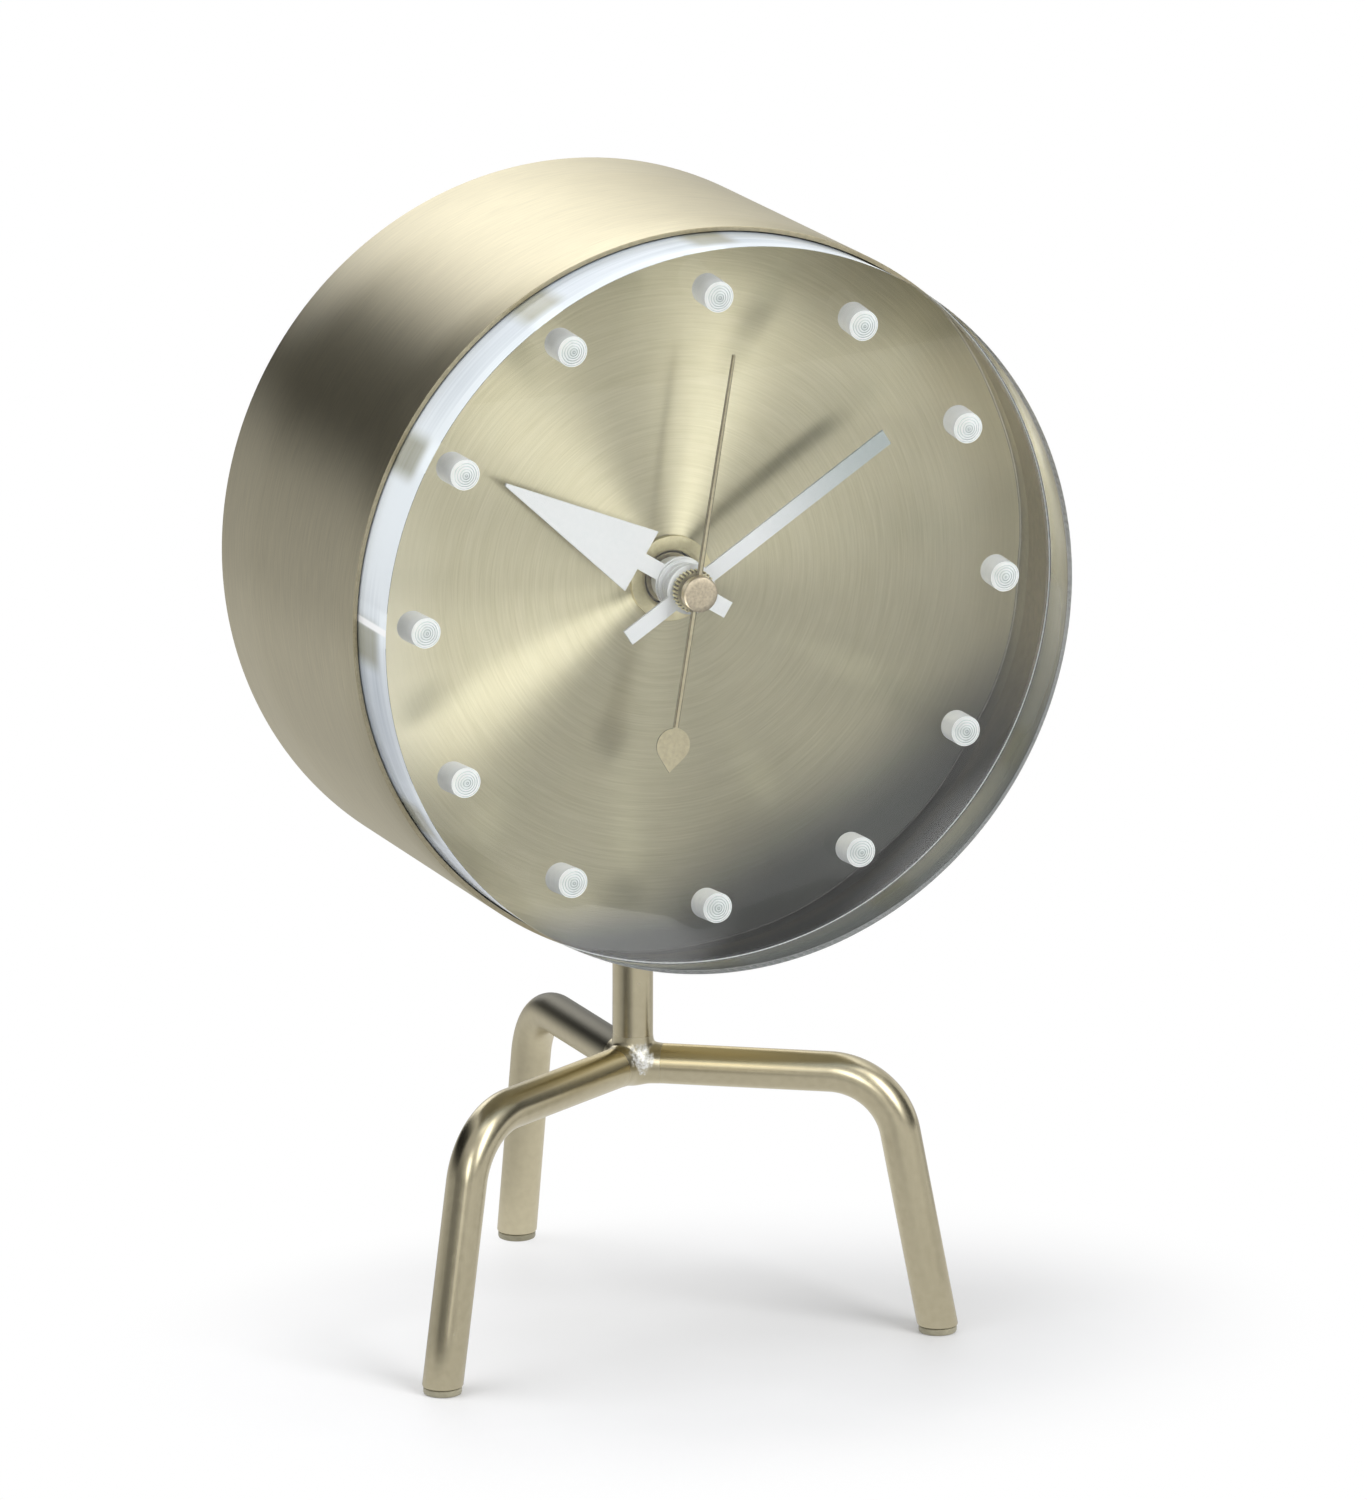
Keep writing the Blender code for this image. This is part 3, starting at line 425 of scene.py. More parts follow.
def edge_finish(name):
    """Turned edge of the clear disc: from outside a pale, mostly opaque face with its light and shade painted on; it
    stays clear from within, apart from painted shade at the lower right.
    """
    n = Nodes(name)
    x, y, z = n.parts(n.coords())
    haze = n.noise(n.scale(n.coords(), (30.0, 1200.0, 30.0)), 1.0, 3.0, 0.6)
    patch = n.noise(n.scale(n.coords(), (70.0, 12.0, 70.0)), 1.0, 1.0, 0.5)
    # painted light and shade: lighter above the axis, darker again near the top and lighter towards the front, over a
    # fine grain
    height = n.plus(n.step(z, -0.010, 0.010, 0.25, 0.74), n.step(z, 0.024, 0.046, 0.0, -0.42))
    grain = n.minus(n.times(haze, 0.55), n.times(patch, 0.42))
    painted_light_and_grain = n.plus(height, n.step(y, -0.0235, -0.0255, 0.0, 0.22), grain)
    pale = n.ramp(painted_light_and_grain, [(0.05, (0.40, 0.45, 0.51)), (0.8, (0.84, 0.89, 0.92))])
    # painted refraction: the drilled marks are painted on the side as dull spots, a little anticlockwise of each
    angle, past = past_mark(n, x, z)
    near = n.times(n.step(n.math("ABSOLUTE", n.plus(past, 0.02)), 0.085, 0.03), n.step(y, -0.0258, -0.0225))
    painted_mark_images = n.mix(n.times(near, n.spread(haze, 0.65, 1.0)), pale, (0.33, 0.325, 0.24))
    # and a painted highlight: a soft box painted on as a thin bright line
    line = n.step(n.math("ABSOLUTE", n.plus(angle, 1.536)), 0.013, 0.006)
    # seen from within, the lower right gets painted shade, darker and less clear, for the darkest part of the mouth
    # that it mirrors
    inside = n.node("ShaderNodeNewGeometry").outputs["Backfacing"]
    towards = n.minus(n.times(x, 0.45), n.times(z, 0.89))
    painted_shade_inside = n.times(inside, n.step(towards, 0.012, 0.046, 0.0, 0.82))
    n.set(Base_Color=n.mix(painted_shade_inside, n.mix(line, painted_mark_images, (1.0, 1.0, 1.0)), (0.062, 0.066, 0.048)))
    n.set(Transmission_Weight=n.minus(n.spread(inside, 0.14, 1.0), painted_shade_inside))
    n.set(Roughness=n.spread(inside, 0.16, 0.06), IOR=1.49)
    return n.material


def frosted_finish(name):
    """Drilled holes of the clear disc: milky and ringed by the drill, with a faint painted glow that stands in for
    the light the disc carries to them.
    """
    n = Nodes(name)
    x, y, z = n.parts(n.coords())
    # distance from the axis of the nearest of the twelve holes, in mm
    reach = n.length(x, z)
    _, past = past_mark(n, x, z)
    u = n.times(reach, n.math("SINE", past), 1000.0)
    v = n.minus(n.times(reach, n.math("COSINE", past), 1000.0), MARK_RING)
    from_centre = n.length(u, v)
    along = n.plus(from_centre, n.times(y, 1000.0))
    wobble = n.noise(n.coords(), 700.0, 2.0, 0.5)
    rings = n.math("SINE", n.times(n.plus(along, n.times(wobble, 0.35)), 13.0))
    pit = n.minus(n.step(from_centre, 1.5, 2.05, 0.0, 0.26), n.step(from_centre, 1.1, 0.2, 0.0, 0.22))
    pattern = n.plus(n.plus(n.times(rings, 0.20), pit), n.plus(n.times(wobble, 0.4), 0.28))
    milk = n.ramp(pattern, [(0.05, (0.40, 0.45, 0.45)), (0.55, (0.80, 0.84, 0.83)), (0.95, (0.99, 1.0, 0.99))])
    # painted light: the milk colour glows faintly, though the holes are no lamp
    n.set(Base_Color=milk, Emission_Color=milk, Emission_Strength=0.19)
    n.set(Roughness=n.spread(wobble, 0.30, 0.5), Transmission_Weight=0.35, IOR=1.49)
    n.bump(pattern, 0.35, 0.06 * mm)
    return n.material


ROD_DARK, ROD_LIGHT = (0.65, 0.583, 0.405), (0.70, 0.632, 0.445)


def rod_finish(name, rear=False):
    """Satin brass rod: near the hub its top is painted a lighter warm gold, partly brazing heat tint and partly
    painted light; the rear one's top is painted dark instead, as painted shade.
    """
    n = Nodes(name)
    grain = n.noise(n.coords(), 900.0, 2.0, 0.5)
    x, y, z = n.parts(n.coords())
    out = n.length(x, y)
    brass = n.ramp(grain, [(0.25, ROD_DARK), (0.75, ROD_LIGHT)])
    if rear:
        # painted shade: the rear rod's top near the hub is painted dark
        painted_shade_top = n.times(n.step(z, 0.0375, 0.0402), n.step(out, 0.0375, 0.0330))
        n.set(Base_Color=n.mix(painted_shade_top, brass, (0.15, 0.14, 0.105)), Roughness=n.spread(grain, 0.38, 0.42), Metallic=0.88)
    else:
        # partly brazing heat tint, partly painted light: the top near the hub is painted a lighter warm gold
        near = n.times(n.step(out, 0.032, 0.012), n.step(out, 0.003, 0.005), n.step(z, 0.0375, 0.0400))
        n.set(Base_Color=n.mix(near, brass, (0.98, 0.84, 0.50)), Roughness=n.spread(grain, 0.25, 0.28), Metallic=1.0)
    n.bump(grain, 0.02)
    return n.material


def hub_finish(name):
    """Brass rods run together, with a rough spot of silver braze where they meet at the front."""
    n = Nodes(name)
    grain = n.noise(n.coords(), 1500.0, 3.0, 0.6)
    speck = n.noise(n.coords(), 2600.0, 2.0, 0.7)
    wander = n.times(n.minus(n.noise(n.coords(), 900.0, 2.0, 0.6), 0.5), 0.0028)
    offsets = [n.minus(value, centre) for value, centre in zip(n.parts(n.coords()), (0.0, -0.0030, 0.0397))]
    braze = n.step(n.plus(n.length(*offsets), wander), 0.0022, 0.0014)
    brass = n.ramp(grain, [(0.25, ROD_DARK), (0.75, ROD_LIGHT)])
    silver = n.ramp(speck, [(0.36, (0.62, 0.60, 0.50)), (0.5, (0.86, 0.85, 0.79)), (0.60, (0.96, 0.96, 0.93))])
    sparks = n.times(braze, n.step(speck, 0.40, 0.60, 0.1, 0.8))
    n.set(Base_Color=n.mix(braze, brass, silver), Metallic=n.minus(1.0, sparks))
    n.set(Roughness=n.plus(n.spread(grain, 0.27, 0.32), n.times(braze, 0.06)))
    lumps = n.times(n.noise(n.coords(), 1100.0, 2.0, 0.5), braze)
    n.bump(n.plus(n.times(lumps, 4.0), n.times(grain, 0.1)), 0.3, 0.06 * mm)
    return n.material


drum_brass = brushed("drum_brass", (0.645, 0.594, 0.435), (0.785, 0.724, 0.535), 0.35, 0.90, 0.15)
dial_brass = brushed("dial_brass", (0.655, 0.61, 0.40), (0.80, 0.75, 0.54), 0.38, 0.92, 0.12, True)
rod_brass = rod_finish("rod_brass")
rear_rod_brass = rod_finish("rear_rod_brass", True)
hub_brass = hub_finish("hub_brass")
hand_brass = satin_metal("hand_brass", (0.60, 0.53, 0.34), (0.74, 0.67, 0.45), 0.40, 1500.0)
# painted shade: a darker copy of the hands' brass, for grooves, edges and slopes
shade_brass = satin_metal("shade_brass", (0.20, 0.17, 0.10), (0.28, 0.24, 0.15), 0.45, 1500.0)
lip_brass = satin_metal("lip_brass", (0.46, 0.41, 0.28), (0.56, 0.50, 0.345), 0.46, 1500.0)
cap_brass = satin_metal("cap_brass", (0.60, 0.50, 0.34), (0.82, 0.71, 0.52), 0.34, 2600.0, 0.25)
flange_brass = satin_metal("flange_brass", (0.40, 0.375, 0.29), (0.48, 0.455, 0.36), 0.50, 1500.0, 0.1, 0.85)
nut_brass = satin_metal("nut_brass", (0.86, 0.78, 0.48), (0.97, 0.90, 0.60), 0.45, 1500.0)
inner_brass = satin_metal("inner_brass", (0.30, 0.27, 0.19), (0.40, 0.36, 0.265), 0.52)
sleeve_brass = satin_metal("sleeve_brass", (0.34, 0.305, 0.215), (0.44, 0.395, 0.285), 0.52, 900.0, 0.1, 0.72)
braze_silver = satin_metal("braze_silver", (0.52, 0.50, 0.44), (0.92, 0.92, 0.88), 0.34, 1800.0, 0.4)
steel = satin_metal("bright_steel", (0.48, 0.48, 0.49), (0.66, 0.66, 0.67), 0.28)
white_lacquer = solid_finish("white_lacquer", (0.92, 0.94, 0.935), (0.95, 0.965, 0.96), 0.40, 1500.0, 0.05, 0.2)
minute_lacquer_painted_shade = lacquer_strip("minute_lacquer_painted_shade")
black_plastic = solid_finish("black_plastic", (0.016, 0.016, 0.018), (0.030, 0.030, 0.033), 0.48, 2500.0, 0.25)
grey_plastic = solid_finish("grey_plastic", (0.24, 0.24, 0.25), (0.33, 0.33, 0.34), 0.45, 2500.0, 0.2)
cell_jacket = solid_finish("cell_jacket", (0.07, 0.085, 0.11), (0.11, 0.13, 0.16), 0.30, 400.0, 0.03, 0.4)
soft_clear = solid_finish("soft_clear", (0.31, 0.285, 0.200), (0.38, 0.352, 0.250), 0.42, 900.0, 0.1)
dark_rubber = solid_finish("dark_rubber", (0.022, 0.022, 0.022), (0.040, 0.040, 0.040), 0.75, 1800.0, 0.3)
acrylic = clear_finish("clear_acrylic")
acrylic_edge = edge_finish("acrylic_edge")
frosted = frosted_finish("frosted_acrylic")

slot_finish = {
    "drum_brass": drum_brass, "dial_brass": dial_brass, "rod_brass": rod_brass, "hand_brass": hand_brass,
    "inner_brass": inner_brass, "clear_acrylic": acrylic, "white_lacquer": white_lacquer,
    "black_plastic": black_plastic, "grey_plastic": grey_plastic, "bright_steel": steel,
    "cell_jacket": cell_jacket, "weld_silver": braze_silver, "soft_clear": soft_clear, "dark_rubber": dark_rubber,
}
slot_of = {part["node"]: part["material_slot"] for part in frame["record"]["subparts"]}
for name, node in frame["nodes"].items():
    node.data.materials.clear()
    node.data.materials.append(slot_finish[slot_of[name]])


def place(piece, body, slot, *nodes):
    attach(piece, body)
    if nodes:
        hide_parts(*nodes)


# ---- drum ----

shell_profile = [
    (51.80, 15.6), (51.80, DRUM_FRONT - 0.1), (51.86, DRUM_FRONT), (52.34, DRUM_FRONT), (52.46, DRUM_FRONT - 0.04),
    (DRUM_R, DRUM_FRONT - 0.12), (DRUM_R, 8.0), (DRUM_R, 0.0), (DRUM_R, -10.0), (DRUM_R, -20.0),
    (DRUM_R, DRUM_BACK + 0.28), (52.38, DRUM_BACK + 0.07), (52.15, DRUM_BACK), (DRUM_INNER, DRUM_BACK),
    (DRUM_INNER, -20.0), (DRUM_INNER, 0.0), (DRUM_INNER, 15.2),
]
drum = finish_mesh("drum_body", turned(shell_profile, 256), [drum_brass], head)
drill_profile = [(0, 0), (2.3, 0), (2.3, 3.0), (0, 3.0)]
drill = finish_mesh("stud_hole_cutter", turned(drill_profile, 48, False, True), [], (0.0, stem_y, axis_z - 54.0 * mm))
hole = drum.modifiers.new("stud_hole", "BOOLEAN")
hole.operation = "DIFFERENCE"
hole.object = drill
hole.solver = "EXACT"
bpy.context.view_layer.update()
cut = bpy.data.meshes.new_from_object(drum.evaluated_get(bpy.context.evaluated_depsgraph_get()))
drum.modifiers.clear()
drum.data = cut
bpy.data.objects.remove(drill)
drum.data.materials.append(lip_brass)
drum.data.materials.append(dark_rubber)
paint(drum, 1, lambda face: -face.center.y > (DRUM_FRONT - 0.1) * mm and face.normal.y < -0.6)
# painted shadow: the lip's inner faces in front of the disc take the dark rubber, as a shadow line in the gap
paint(drum, 2, lambda face: -face.center.y > 15.0 * mm and from_axis(face) < 51.88)
place(drum, "case", "drum_brass", "drum_shell")

sleeve_profile = [(SLEEVE_INNER, 12.0), (SLEEVE_R, 12.0), (SLEEVE_R, 3.5)]
sleeve_profile += [(SLEEVE_INNER, height) for height in (3.5, 6.0, 9.0)]
sleeve = finish_mesh("inner_sleeve", turned(sleeve_profile, 256), [sleeve_brass], head)
place(sleeve, "case", "inner_brass", "spacer_sleeve")

# ---- dial: a shallow spun pan ----

dial_profile = [(3.8, -1.0), (3.8, 0.0)]
dial_profile += [(r, 0.0) for r in (6, 9, 13, 18, 24, 30, 36, 42, 47, 50.9)]
dial_profile += [(51.05 + 0.15 * math.sin(a), 0.15 - 0.15 * math.cos(a)) for a in (0.0, 0.5, 1.0, quarter)]
dial_profile += [(51.2, 3.1), (51.28, 3.2), (51.55, 3.2), (51.6, 3.1), (51.6, -1.0)]
dial = finish_mesh("spun_dial", turned(dial_profile, 256), [dial_brass, flange_brass], head, sharp=50.0)
paint(dial, 1, lambda face: from_axis(face) > 50.95)
place(dial, "case", "dial_brass", "dial_plate")

# ---- clear disc with drilled hour marks ----


def crystal_mesh():
    """Clear disc, its back pierced by twelve blind holes that end in the drill's shallow, ringed cone."""
    bm = bmesh.new()
    sides, holes, turns = 288, 48, 6
    clear, milky, side_wall, dark = range(4)
    centres = [(MARK_RING * math.sin(math.pi * i / 6), MARK_RING * math.cos(math.pi * i / 6)) for i in range(12)]
    fill, loops = filled([circle(CRYSTAL_R - 0.25, sides), *(circle(MARK_R, holes, c) for c in centres)])
    back = [bm.verts.new((p.x * mm, -CRYSTAL_BACK * mm, p.y * mm)) for p in fill[0]]
    made = {source: back[i] for i, sources in enumerate(fill[3]) for source in sources}
    for face in fill[2]:
        bm.faces.new([back[i] for i in face])

    def grow(last, radius, height, material, centre=(0.0, 0.0)):
        """Add a ring, and the faces between it and the last one."""
        new = [bm.verts.new((x * mm, -height * mm, z * mm)) for x, z in circle(radius, len(last), centre)]
        bridge(bm, last, new, material)
        return new

    last = [made[i] for i in loops[0]]
    # painted shadow: a narrow band round the back edge takes the dark rubber, as a shadow line where the disc sits
    for material, radius, height in (
        (milky, CRYSTAL_R - 0.07, CRYSTAL_BACK + 0.05), (dark, CRYSTAL_R, CRYSTAL_BACK + 0.3),
        (side_wall, CRYSTAL_R, CRYSTAL_BACK + 7.5), (side_wall, CRYSTAL_R, CRYSTAL_FRONT - 0.08),
        (clear, CRYSTAL_R - 0.02, CRYSTAL_FRONT - 0.02), (clear, CRYSTAL_R - 0.08, CRYSTAL_FRONT),
    ):
        last = grow(last, radius, height, material)
    bm.faces.new(last)
    steps = [(MARK_R, CRYSTAL_BACK + 2.5), (MARK_R, CRYSTAL_BACK + 5.0), (MARK_R, MARK_END - 0.04)]
    for k in range(turns):
        outer, inner = MARK_R * (1 - k / turns), MARK_R * (1 - (k + 1) / turns)
        z0, z1 = MARK_END + MARK_CONE * k / turns, MARK_END + MARK_CONE * (k + 1) / turns
        steps += [(outer - 0.03, z0 + 0.03), (outer - 0.13, z0 + 0.02), ((outer + inner) / 2, (z0 + z1) / 2 + 0.02)]
    for centre, loop in zip(centres, loops[1:]):
        last = [made[i] for i in loop]
        for radius, height in steps:
            last = grow(last, max(radius, 0.03), height, milky, centre)
        tip = bm.verts.new((centre[0] * mm, -(MARK_END + MARK_CONE + 0.05) * mm, centre[1] * mm))
        for i in range(holes):
            bm.faces.new((last[i], last[(i + 1) % holes], tip)).material_index = milky
    return bm


disc = finish_mesh("clear_disc", crystal_mesh(), [acrylic, frosted, acrylic_edge, dark_rubber], head, sharp=35.0)
disc.visible_shadow = False
place(disc, "case", "clear_acrylic", "crystal")

# ---- hands ----


def hand_object(name, bm, materials, angle=0.0, flat=False):
    return finish_mesh(name, bm, materials, head, sharp=12.0 if flat else 30.0, rotation_y=angle)


def ring_strip(radius, half, tail, tip_points, steps):
    """Outline of a hand: a strip of half a width each way, with a ring round the shaft."""
    gap = math.asin(half / radius)
    line = [(half, -tail)]
    line += arc((0, 0), radius, -quarter + gap, quarter - gap, steps)
    line += tip_points
    line += arc((0, 0), radius, quarter + gap, 3 * quarter - gap, steps)
    line += [(-half, -tail)]
    return line


hour_tip = [(1.2, 6.7), (4.6, 6.7), (0.2, 29.9), (-0.2, 29.9), (-4.6, 6.7), (-1.2, 6.7)]
hour_plate = plate([ring_strip(3.7, 1.2, 8.2, hour_tip, 40), circle(2.9, 64)], 3.5, 3.9, 0.05)
place(hand_object("hour_blade", hour_plate, [white_lacquer], hour_angle, True), "hour", "white_lacquer", "hour_hand")
bush_profile = rounded([
    (2.66, 1.1), (3.1, 1.1), (3.1, 3.92), (3.5, 3.92), (3.5, 4.35), (3.28, 4.35), (3.28, 4.55), (3.1, 4.55),
    (3.1, 5.35), (2.95, 5.35), (2.95, 5.6), (2.85, 5.9), (2.66, 5.9),
], 0.05, 2)
place(hand_object("hour_bush", turned(bush_profile, 96), [white_lacquer]), "hour", "white_lacquer")

minute_tip = [(1.15, 34.4), (-1.15, 34.4)]
minute_plate = plate([ring_strip(3.5, 1.15, 11.0, minute_tip, 40), circle(1.9, 64)], 7.0, 7.4, 0.05)
minute = hand_object("minute_strip", minute_plate, [minute_lacquer_painted_shade], minute_angle, True)
place(minute, "minute", "white_lacquer", "minute_hand")


def knurled(inner, outer, depth, teeth, low, high):
    """Collar with fine V-shaped teeth, the edge at its high end broken."""
    bm = bmesh.new()
    n = teeth * 4
    edge = 0.15 if high > low else -0.15

    def ring(base, height, cut):
        radii = [(base - cut * (0.0, 0.5, 1.0, 0.5)[i % 4]) * mm for i in range(n)]
        turns = [2 * math.pi * i / n for i in range(n)]
        return [bm.verts.new((r * math.sin(t), -height * mm, r * math.cos(t))) for r, t in zip(radii, turns)]

    rings = [ring(outer, low, depth), ring(outer, high - edge, depth), ring(outer - 0.12, high, depth)]
    rings += [ring(inner, high, 0.0), ring(inner, low, 0.0)]
    for a, b in zip(rings, rings[1:] + rings[:1]):
        bridge(bm, a, b)
    return bm


def in_groove(face):
    """Whether a face of the collar lies in the bottom half of a tooth's gap."""
    phase = math.atan2(face.center.x, face.center.z) * COLLAR_TEETH / (2 * math.pi) % 1.0
    return abs(phase - 0.5) < 0.25 and from_axis(face) > 2.6


collar_mesh = knurled(1.9, 3.0, 0.28, COLLAR_TEETH, 7.7, 8.8)
collar = hand_object("knurled_collar", collar_mesh, [nut_brass, shade_brass], minute_angle)
# painted shade: the bottoms of the teeth's gaps take the darker brass
paint(collar, 1, in_groove)
place(collar, "minute", "hand_brass", "minute_nut")

NEEDLE_END, LEAF_START, LEAF_END, LEAF_R, NEEDLE_TOP = 33.1, 19.0, 25.3, 2.45, 9.35


def second_outline():
    """Needle that narrows from a ring round its pin to its tip, with a leaf on its tail."""
    root, tip, ring = 0.4, 0.225, 1.4
    gap, leaf_gap = math.asin(root / ring), math.asin(root / LEAF_R)
    leaf_centre = (0, -(LEAF_START + LEAF_R))
    tangent = math.acos(LEAF_R / (LEAF_END - LEAF_START - LEAF_R))
    line = [(0.0, -LEAF_END)]
    line += arc(leaf_centre, LEAF_R, -quarter + tangent, quarter - leaf_gap, 24)
    line += arc((0, 0), ring, -quarter + gap, quarter - gap, 24)
    line += [(tip, NEEDLE_END), (-tip, NEEDLE_END)]
    line += arc((0, 0), ring, quarter + gap, 3 * quarter - gap, 24)
    line += arc(leaf_centre, LEAF_R, quarter + leaf_gap, 3 * quarter - tangent, 24)
    return line


needle_plate = plate([second_outline(), circle(0.6, 32)], 9.15, NEEDLE_TOP, 0.08)
second = hand_object("second_needle", needle_plate, [hand_brass, shade_brass], second_angle, True)
# painted shade: the needle's edges take the darker brass, as a dark outline
paint(second, 1, lambda face: abs(face.normal.y) < 0.9)
place(second, "second", "hand_brass", "second_hand")

# the needle's flat top between two slopes painted dark as painted shade, on either side of the cap
fold = bmesh.new()
for start, end, half_end in ((1.5, 33.0, 0.19), (-1.5, -18.9, 0.34)):
    rows = []
    for z, w in ((start, 0.36), (end, half_end)):
        low, high = NEEDLE_TOP + 0.01, NEEDLE_TOP + 0.01 + 0.3 * w
        section = ((-w, low), (-0.6 * w, high), (0.6 * w, high), (w, low), (0.0, NEEDLE_TOP - 0.05))
        rows.append([fold.verts.new((x * mm, -h * mm, z * mm)) for x, h in section])
    bridge(fold, *rows)
    fold.faces.new(rows[0])
    fold.faces.new(list(reversed(rows[1])))
crease = hand_object("needle_crease", fold, [hand_brass, shade_brass], second_angle, True)
paint(crease, 1, lambda face: abs(face.normal.x) > 0.3)
place(crease, "second", "hand_brass")

cap_profile = [(0, 10.2), (0.6, 10.2), (0.6, 9.5), (2.38, 9.5), (2.5, 9.6), (2.5, 10.45), (2.47, 10.58)]
cap_profile += [(2.38, 10.66), *((r, 10.7) for r in (2.25, 1.6, 1.0, 0.5, 0))]
place(hand_object("second_boss", turned(cap_profile, 96, False), [cap_brass]), "second", "hand_brass", "second_cap")
nut_profile = rounded([(3.8, 0.3), (5.9, 0.3), (5.9, 1.0), (4.3, 1.0), (3.8, 0.75), (3.8, 0.35)], 0.12, 3)
place(hand_object("dial_ring_nut", turned(nut_profile, 96), [nut_brass]), "case", "hand_brass", "dial_nut")

# ---- behind: rear cover, mouldings, cell and knob ----


def merged(parts):
    """Join several bmeshes into the first."""
    for other in parts[1:]:
        mesh = bpy.data.meshes.new("joined")
        other.to_mesh(mesh)
        other.free()
        parts[0].from_mesh(mesh)
        bpy.data.meshes.remove(mesh)
    return parts[0]


def rounded_box(width, height, radius, centre):
    line = []
    for k, (sx, sz) in enumerate(((1, 1), (-1, 1), (-1, -1), (1, -1))):
        corner = (centre[0] + sx * (width / 2 - radius), centre[1] + sz * (height / 2 - radius))
        line += arc(corner, radius, k * quarter, (k + 1) * quarter, 6)
    return line


def cross(centre, reach, half):
    """Outline of a screw's cross slot."""
    line = []
    for k in range(4):
        c, s = math.cos(k * quarter), math.sin(k * quarter)
        for u, v in ((half, half), (reach, half), (reach, -half)):
            line.append((centre[0] + u * c + v * s, centre[1] + u * s - v * c))
    return line[::-1]


cover_profile = [
    (38.0, COVER_FRONT), (51.6, COVER_FRONT), (51.6, COVER_BACK + 0.12), (51.48, COVER_BACK), (45.0, COVER_BACK),
    (39.6, COVER_BACK), (39.2, COVER_BACK - 0.14), (38.7, COVER_BACK - 0.2), (38.2, COVER_BACK - 0.12),
    (38.0, COVER_BACK + 0.1),
]
rear_ring = finish_mesh("rear_ring", turned(cover_profile, 192), [drum_brass], head)
place(rear_ring, "case", slot_of["rear_cover"], "rear_cover")

screws = []
for k in range(3):
    turn = quarter + 2 * math.pi * k / 3
    centre = (48.8 * math.cos(turn), 48.8 * math.sin(turn))
    screws.append(plate([circle(1.7, 40, centre)], COVER_BACK - 0.25, COVER_BACK + 0.02))
    screws.append(plate([circle(1.62, 40, centre), cross(centre, 1.0, 0.22)], COVER_BACK - 0.6, COVER_BACK - 0.26))
place(finish_mesh("cover_screws", merged(screws), [steel], head), "case", "bright_steel")


def moulded(rise, *outlines):
    """Raised shape on the back of the movement's housing, rooted a little in it."""
    return plate(outlines, HOUSING_BACK - rise, HOUSING_BACK + 0.02)


panel, hub = (0, 8.0), (0, KNOB_RISE)
mouldings = [moulded(0.4, rounded_box(50.0, 34.0, 3.0, panel), rounded_box(48.4, 32.4, 2.2, panel))]
mouldings.append(moulded(0.5, circle(8.5, 72, hub), circle(7.6, 72, hub)))
for side in (-1, 1):
    for corner in ((21.0 * side, 21.5), (21.0 * side, -5.5)):
        mouldings.append(moulded(0.35, circle(1.3, 32, corner), circle(0.7, 24, corner)))
    for k in range(6):
        mouldings.append(moulded(0.35, rounded_box(7.0, 0.8, 0.39, (15.5 * side, 6.0 + 2.2 * k))))
place(finish_mesh("housing_mouldings", merged(mouldings), [black_plastic], head), "case", "black_plastic")

box_low, box_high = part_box("contact_positive")
plus = 1.0 if box_low.x + box_high.x > 0 else -1.0


def lying(profile, closed):
    """A turned body laid along x, its end with the button towards the positive contact."""
    bm = turned([(r, h * plus) for r, h in profile], 64, closed)
    for v in bm.verts:
        v.co = Vector((-v.co.y, v.co.x, v.co.z))
    return bm


cell_at = (0.0, dial_y - CELL_HEIGHT * mm, axis_z - CELL_DROP * mm)
jacket_profile = [
    (5.9, -CELL_HALF + 0.2), (6.6, -CELL_HALF + 0.12), (7.05, -CELL_HALF + 0.25), (CELL_R, -CELL_HALF + 0.6),
    (CELL_R, -10.0), (CELL_R, 10.0), (CELL_R, CELL_HALF - 1.9), (7.05, CELL_HALF - 1.5), (6.6, CELL_HALF - 1.35),
    (5.9, CELL_HALF - 1.4), (5.9, CELL_HALF - 1.6), (6.9, CELL_HALF - 2.0), (6.9, -CELL_HALF + 0.8),
    (5.9, -CELL_HALF + 0.4),
]
jacket = finish_mesh("cell_sleeve", lying(jacket_profile, True), [cell_jacket], cell_at)
place(jacket, "case", "cell_jacket", "battery_cell")
can_profile = [
    (0, -CELL_HALF + 0.05), (3.6, -CELL_HALF + 0.05), (3.9, -CELL_HALF + 0.3), (6.5, -CELL_HALF + 0.3),
    (6.8, -CELL_HALF + 1.2), (6.8, 0.0), (6.8, CELL_HALF - 2.2), (6.4, CELL_HALF - 1.5), (3.2, CELL_HALF - 1.45),
    (2.9, CELL_HALF - 1.2), (2.75, CELL_HALF - 0.2), (2.5, CELL_HALF), (0, CELL_HALF),
]
place(finish_mesh("cell_can", lying(can_profile, False), [steel], cell_at), "case", "bright_steel")

knob_at = (0.0, dial_y, axis_z + KNOB_RISE * mm)
core_profile = [
    (0, HOUSING_BACK - 0.3), (6.0, HOUSING_BACK - 0.3), (6.0, KNOB_BACK + 0.12), (5.2, KNOB_BACK + 0.12),
    (5.0, KNOB_BACK + 0.55), (2.3, KNOB_BACK + 0.55), (2.1, KNOB_BACK + 0.1), (0, KNOB_BACK + 0.05),
]
wheel = merged([knurled(5.1, 6.5, 0.35, 40, HOUSING_BACK - 0.3, KNOB_BACK), turned(core_profile, 64, False)])
place(finish_mesh("setting_wheel", wheel, [grey_plastic], knob_at), "knob", "grey_plastic", "setting_knob")

# ---- legs, stem and the brazed hub ----


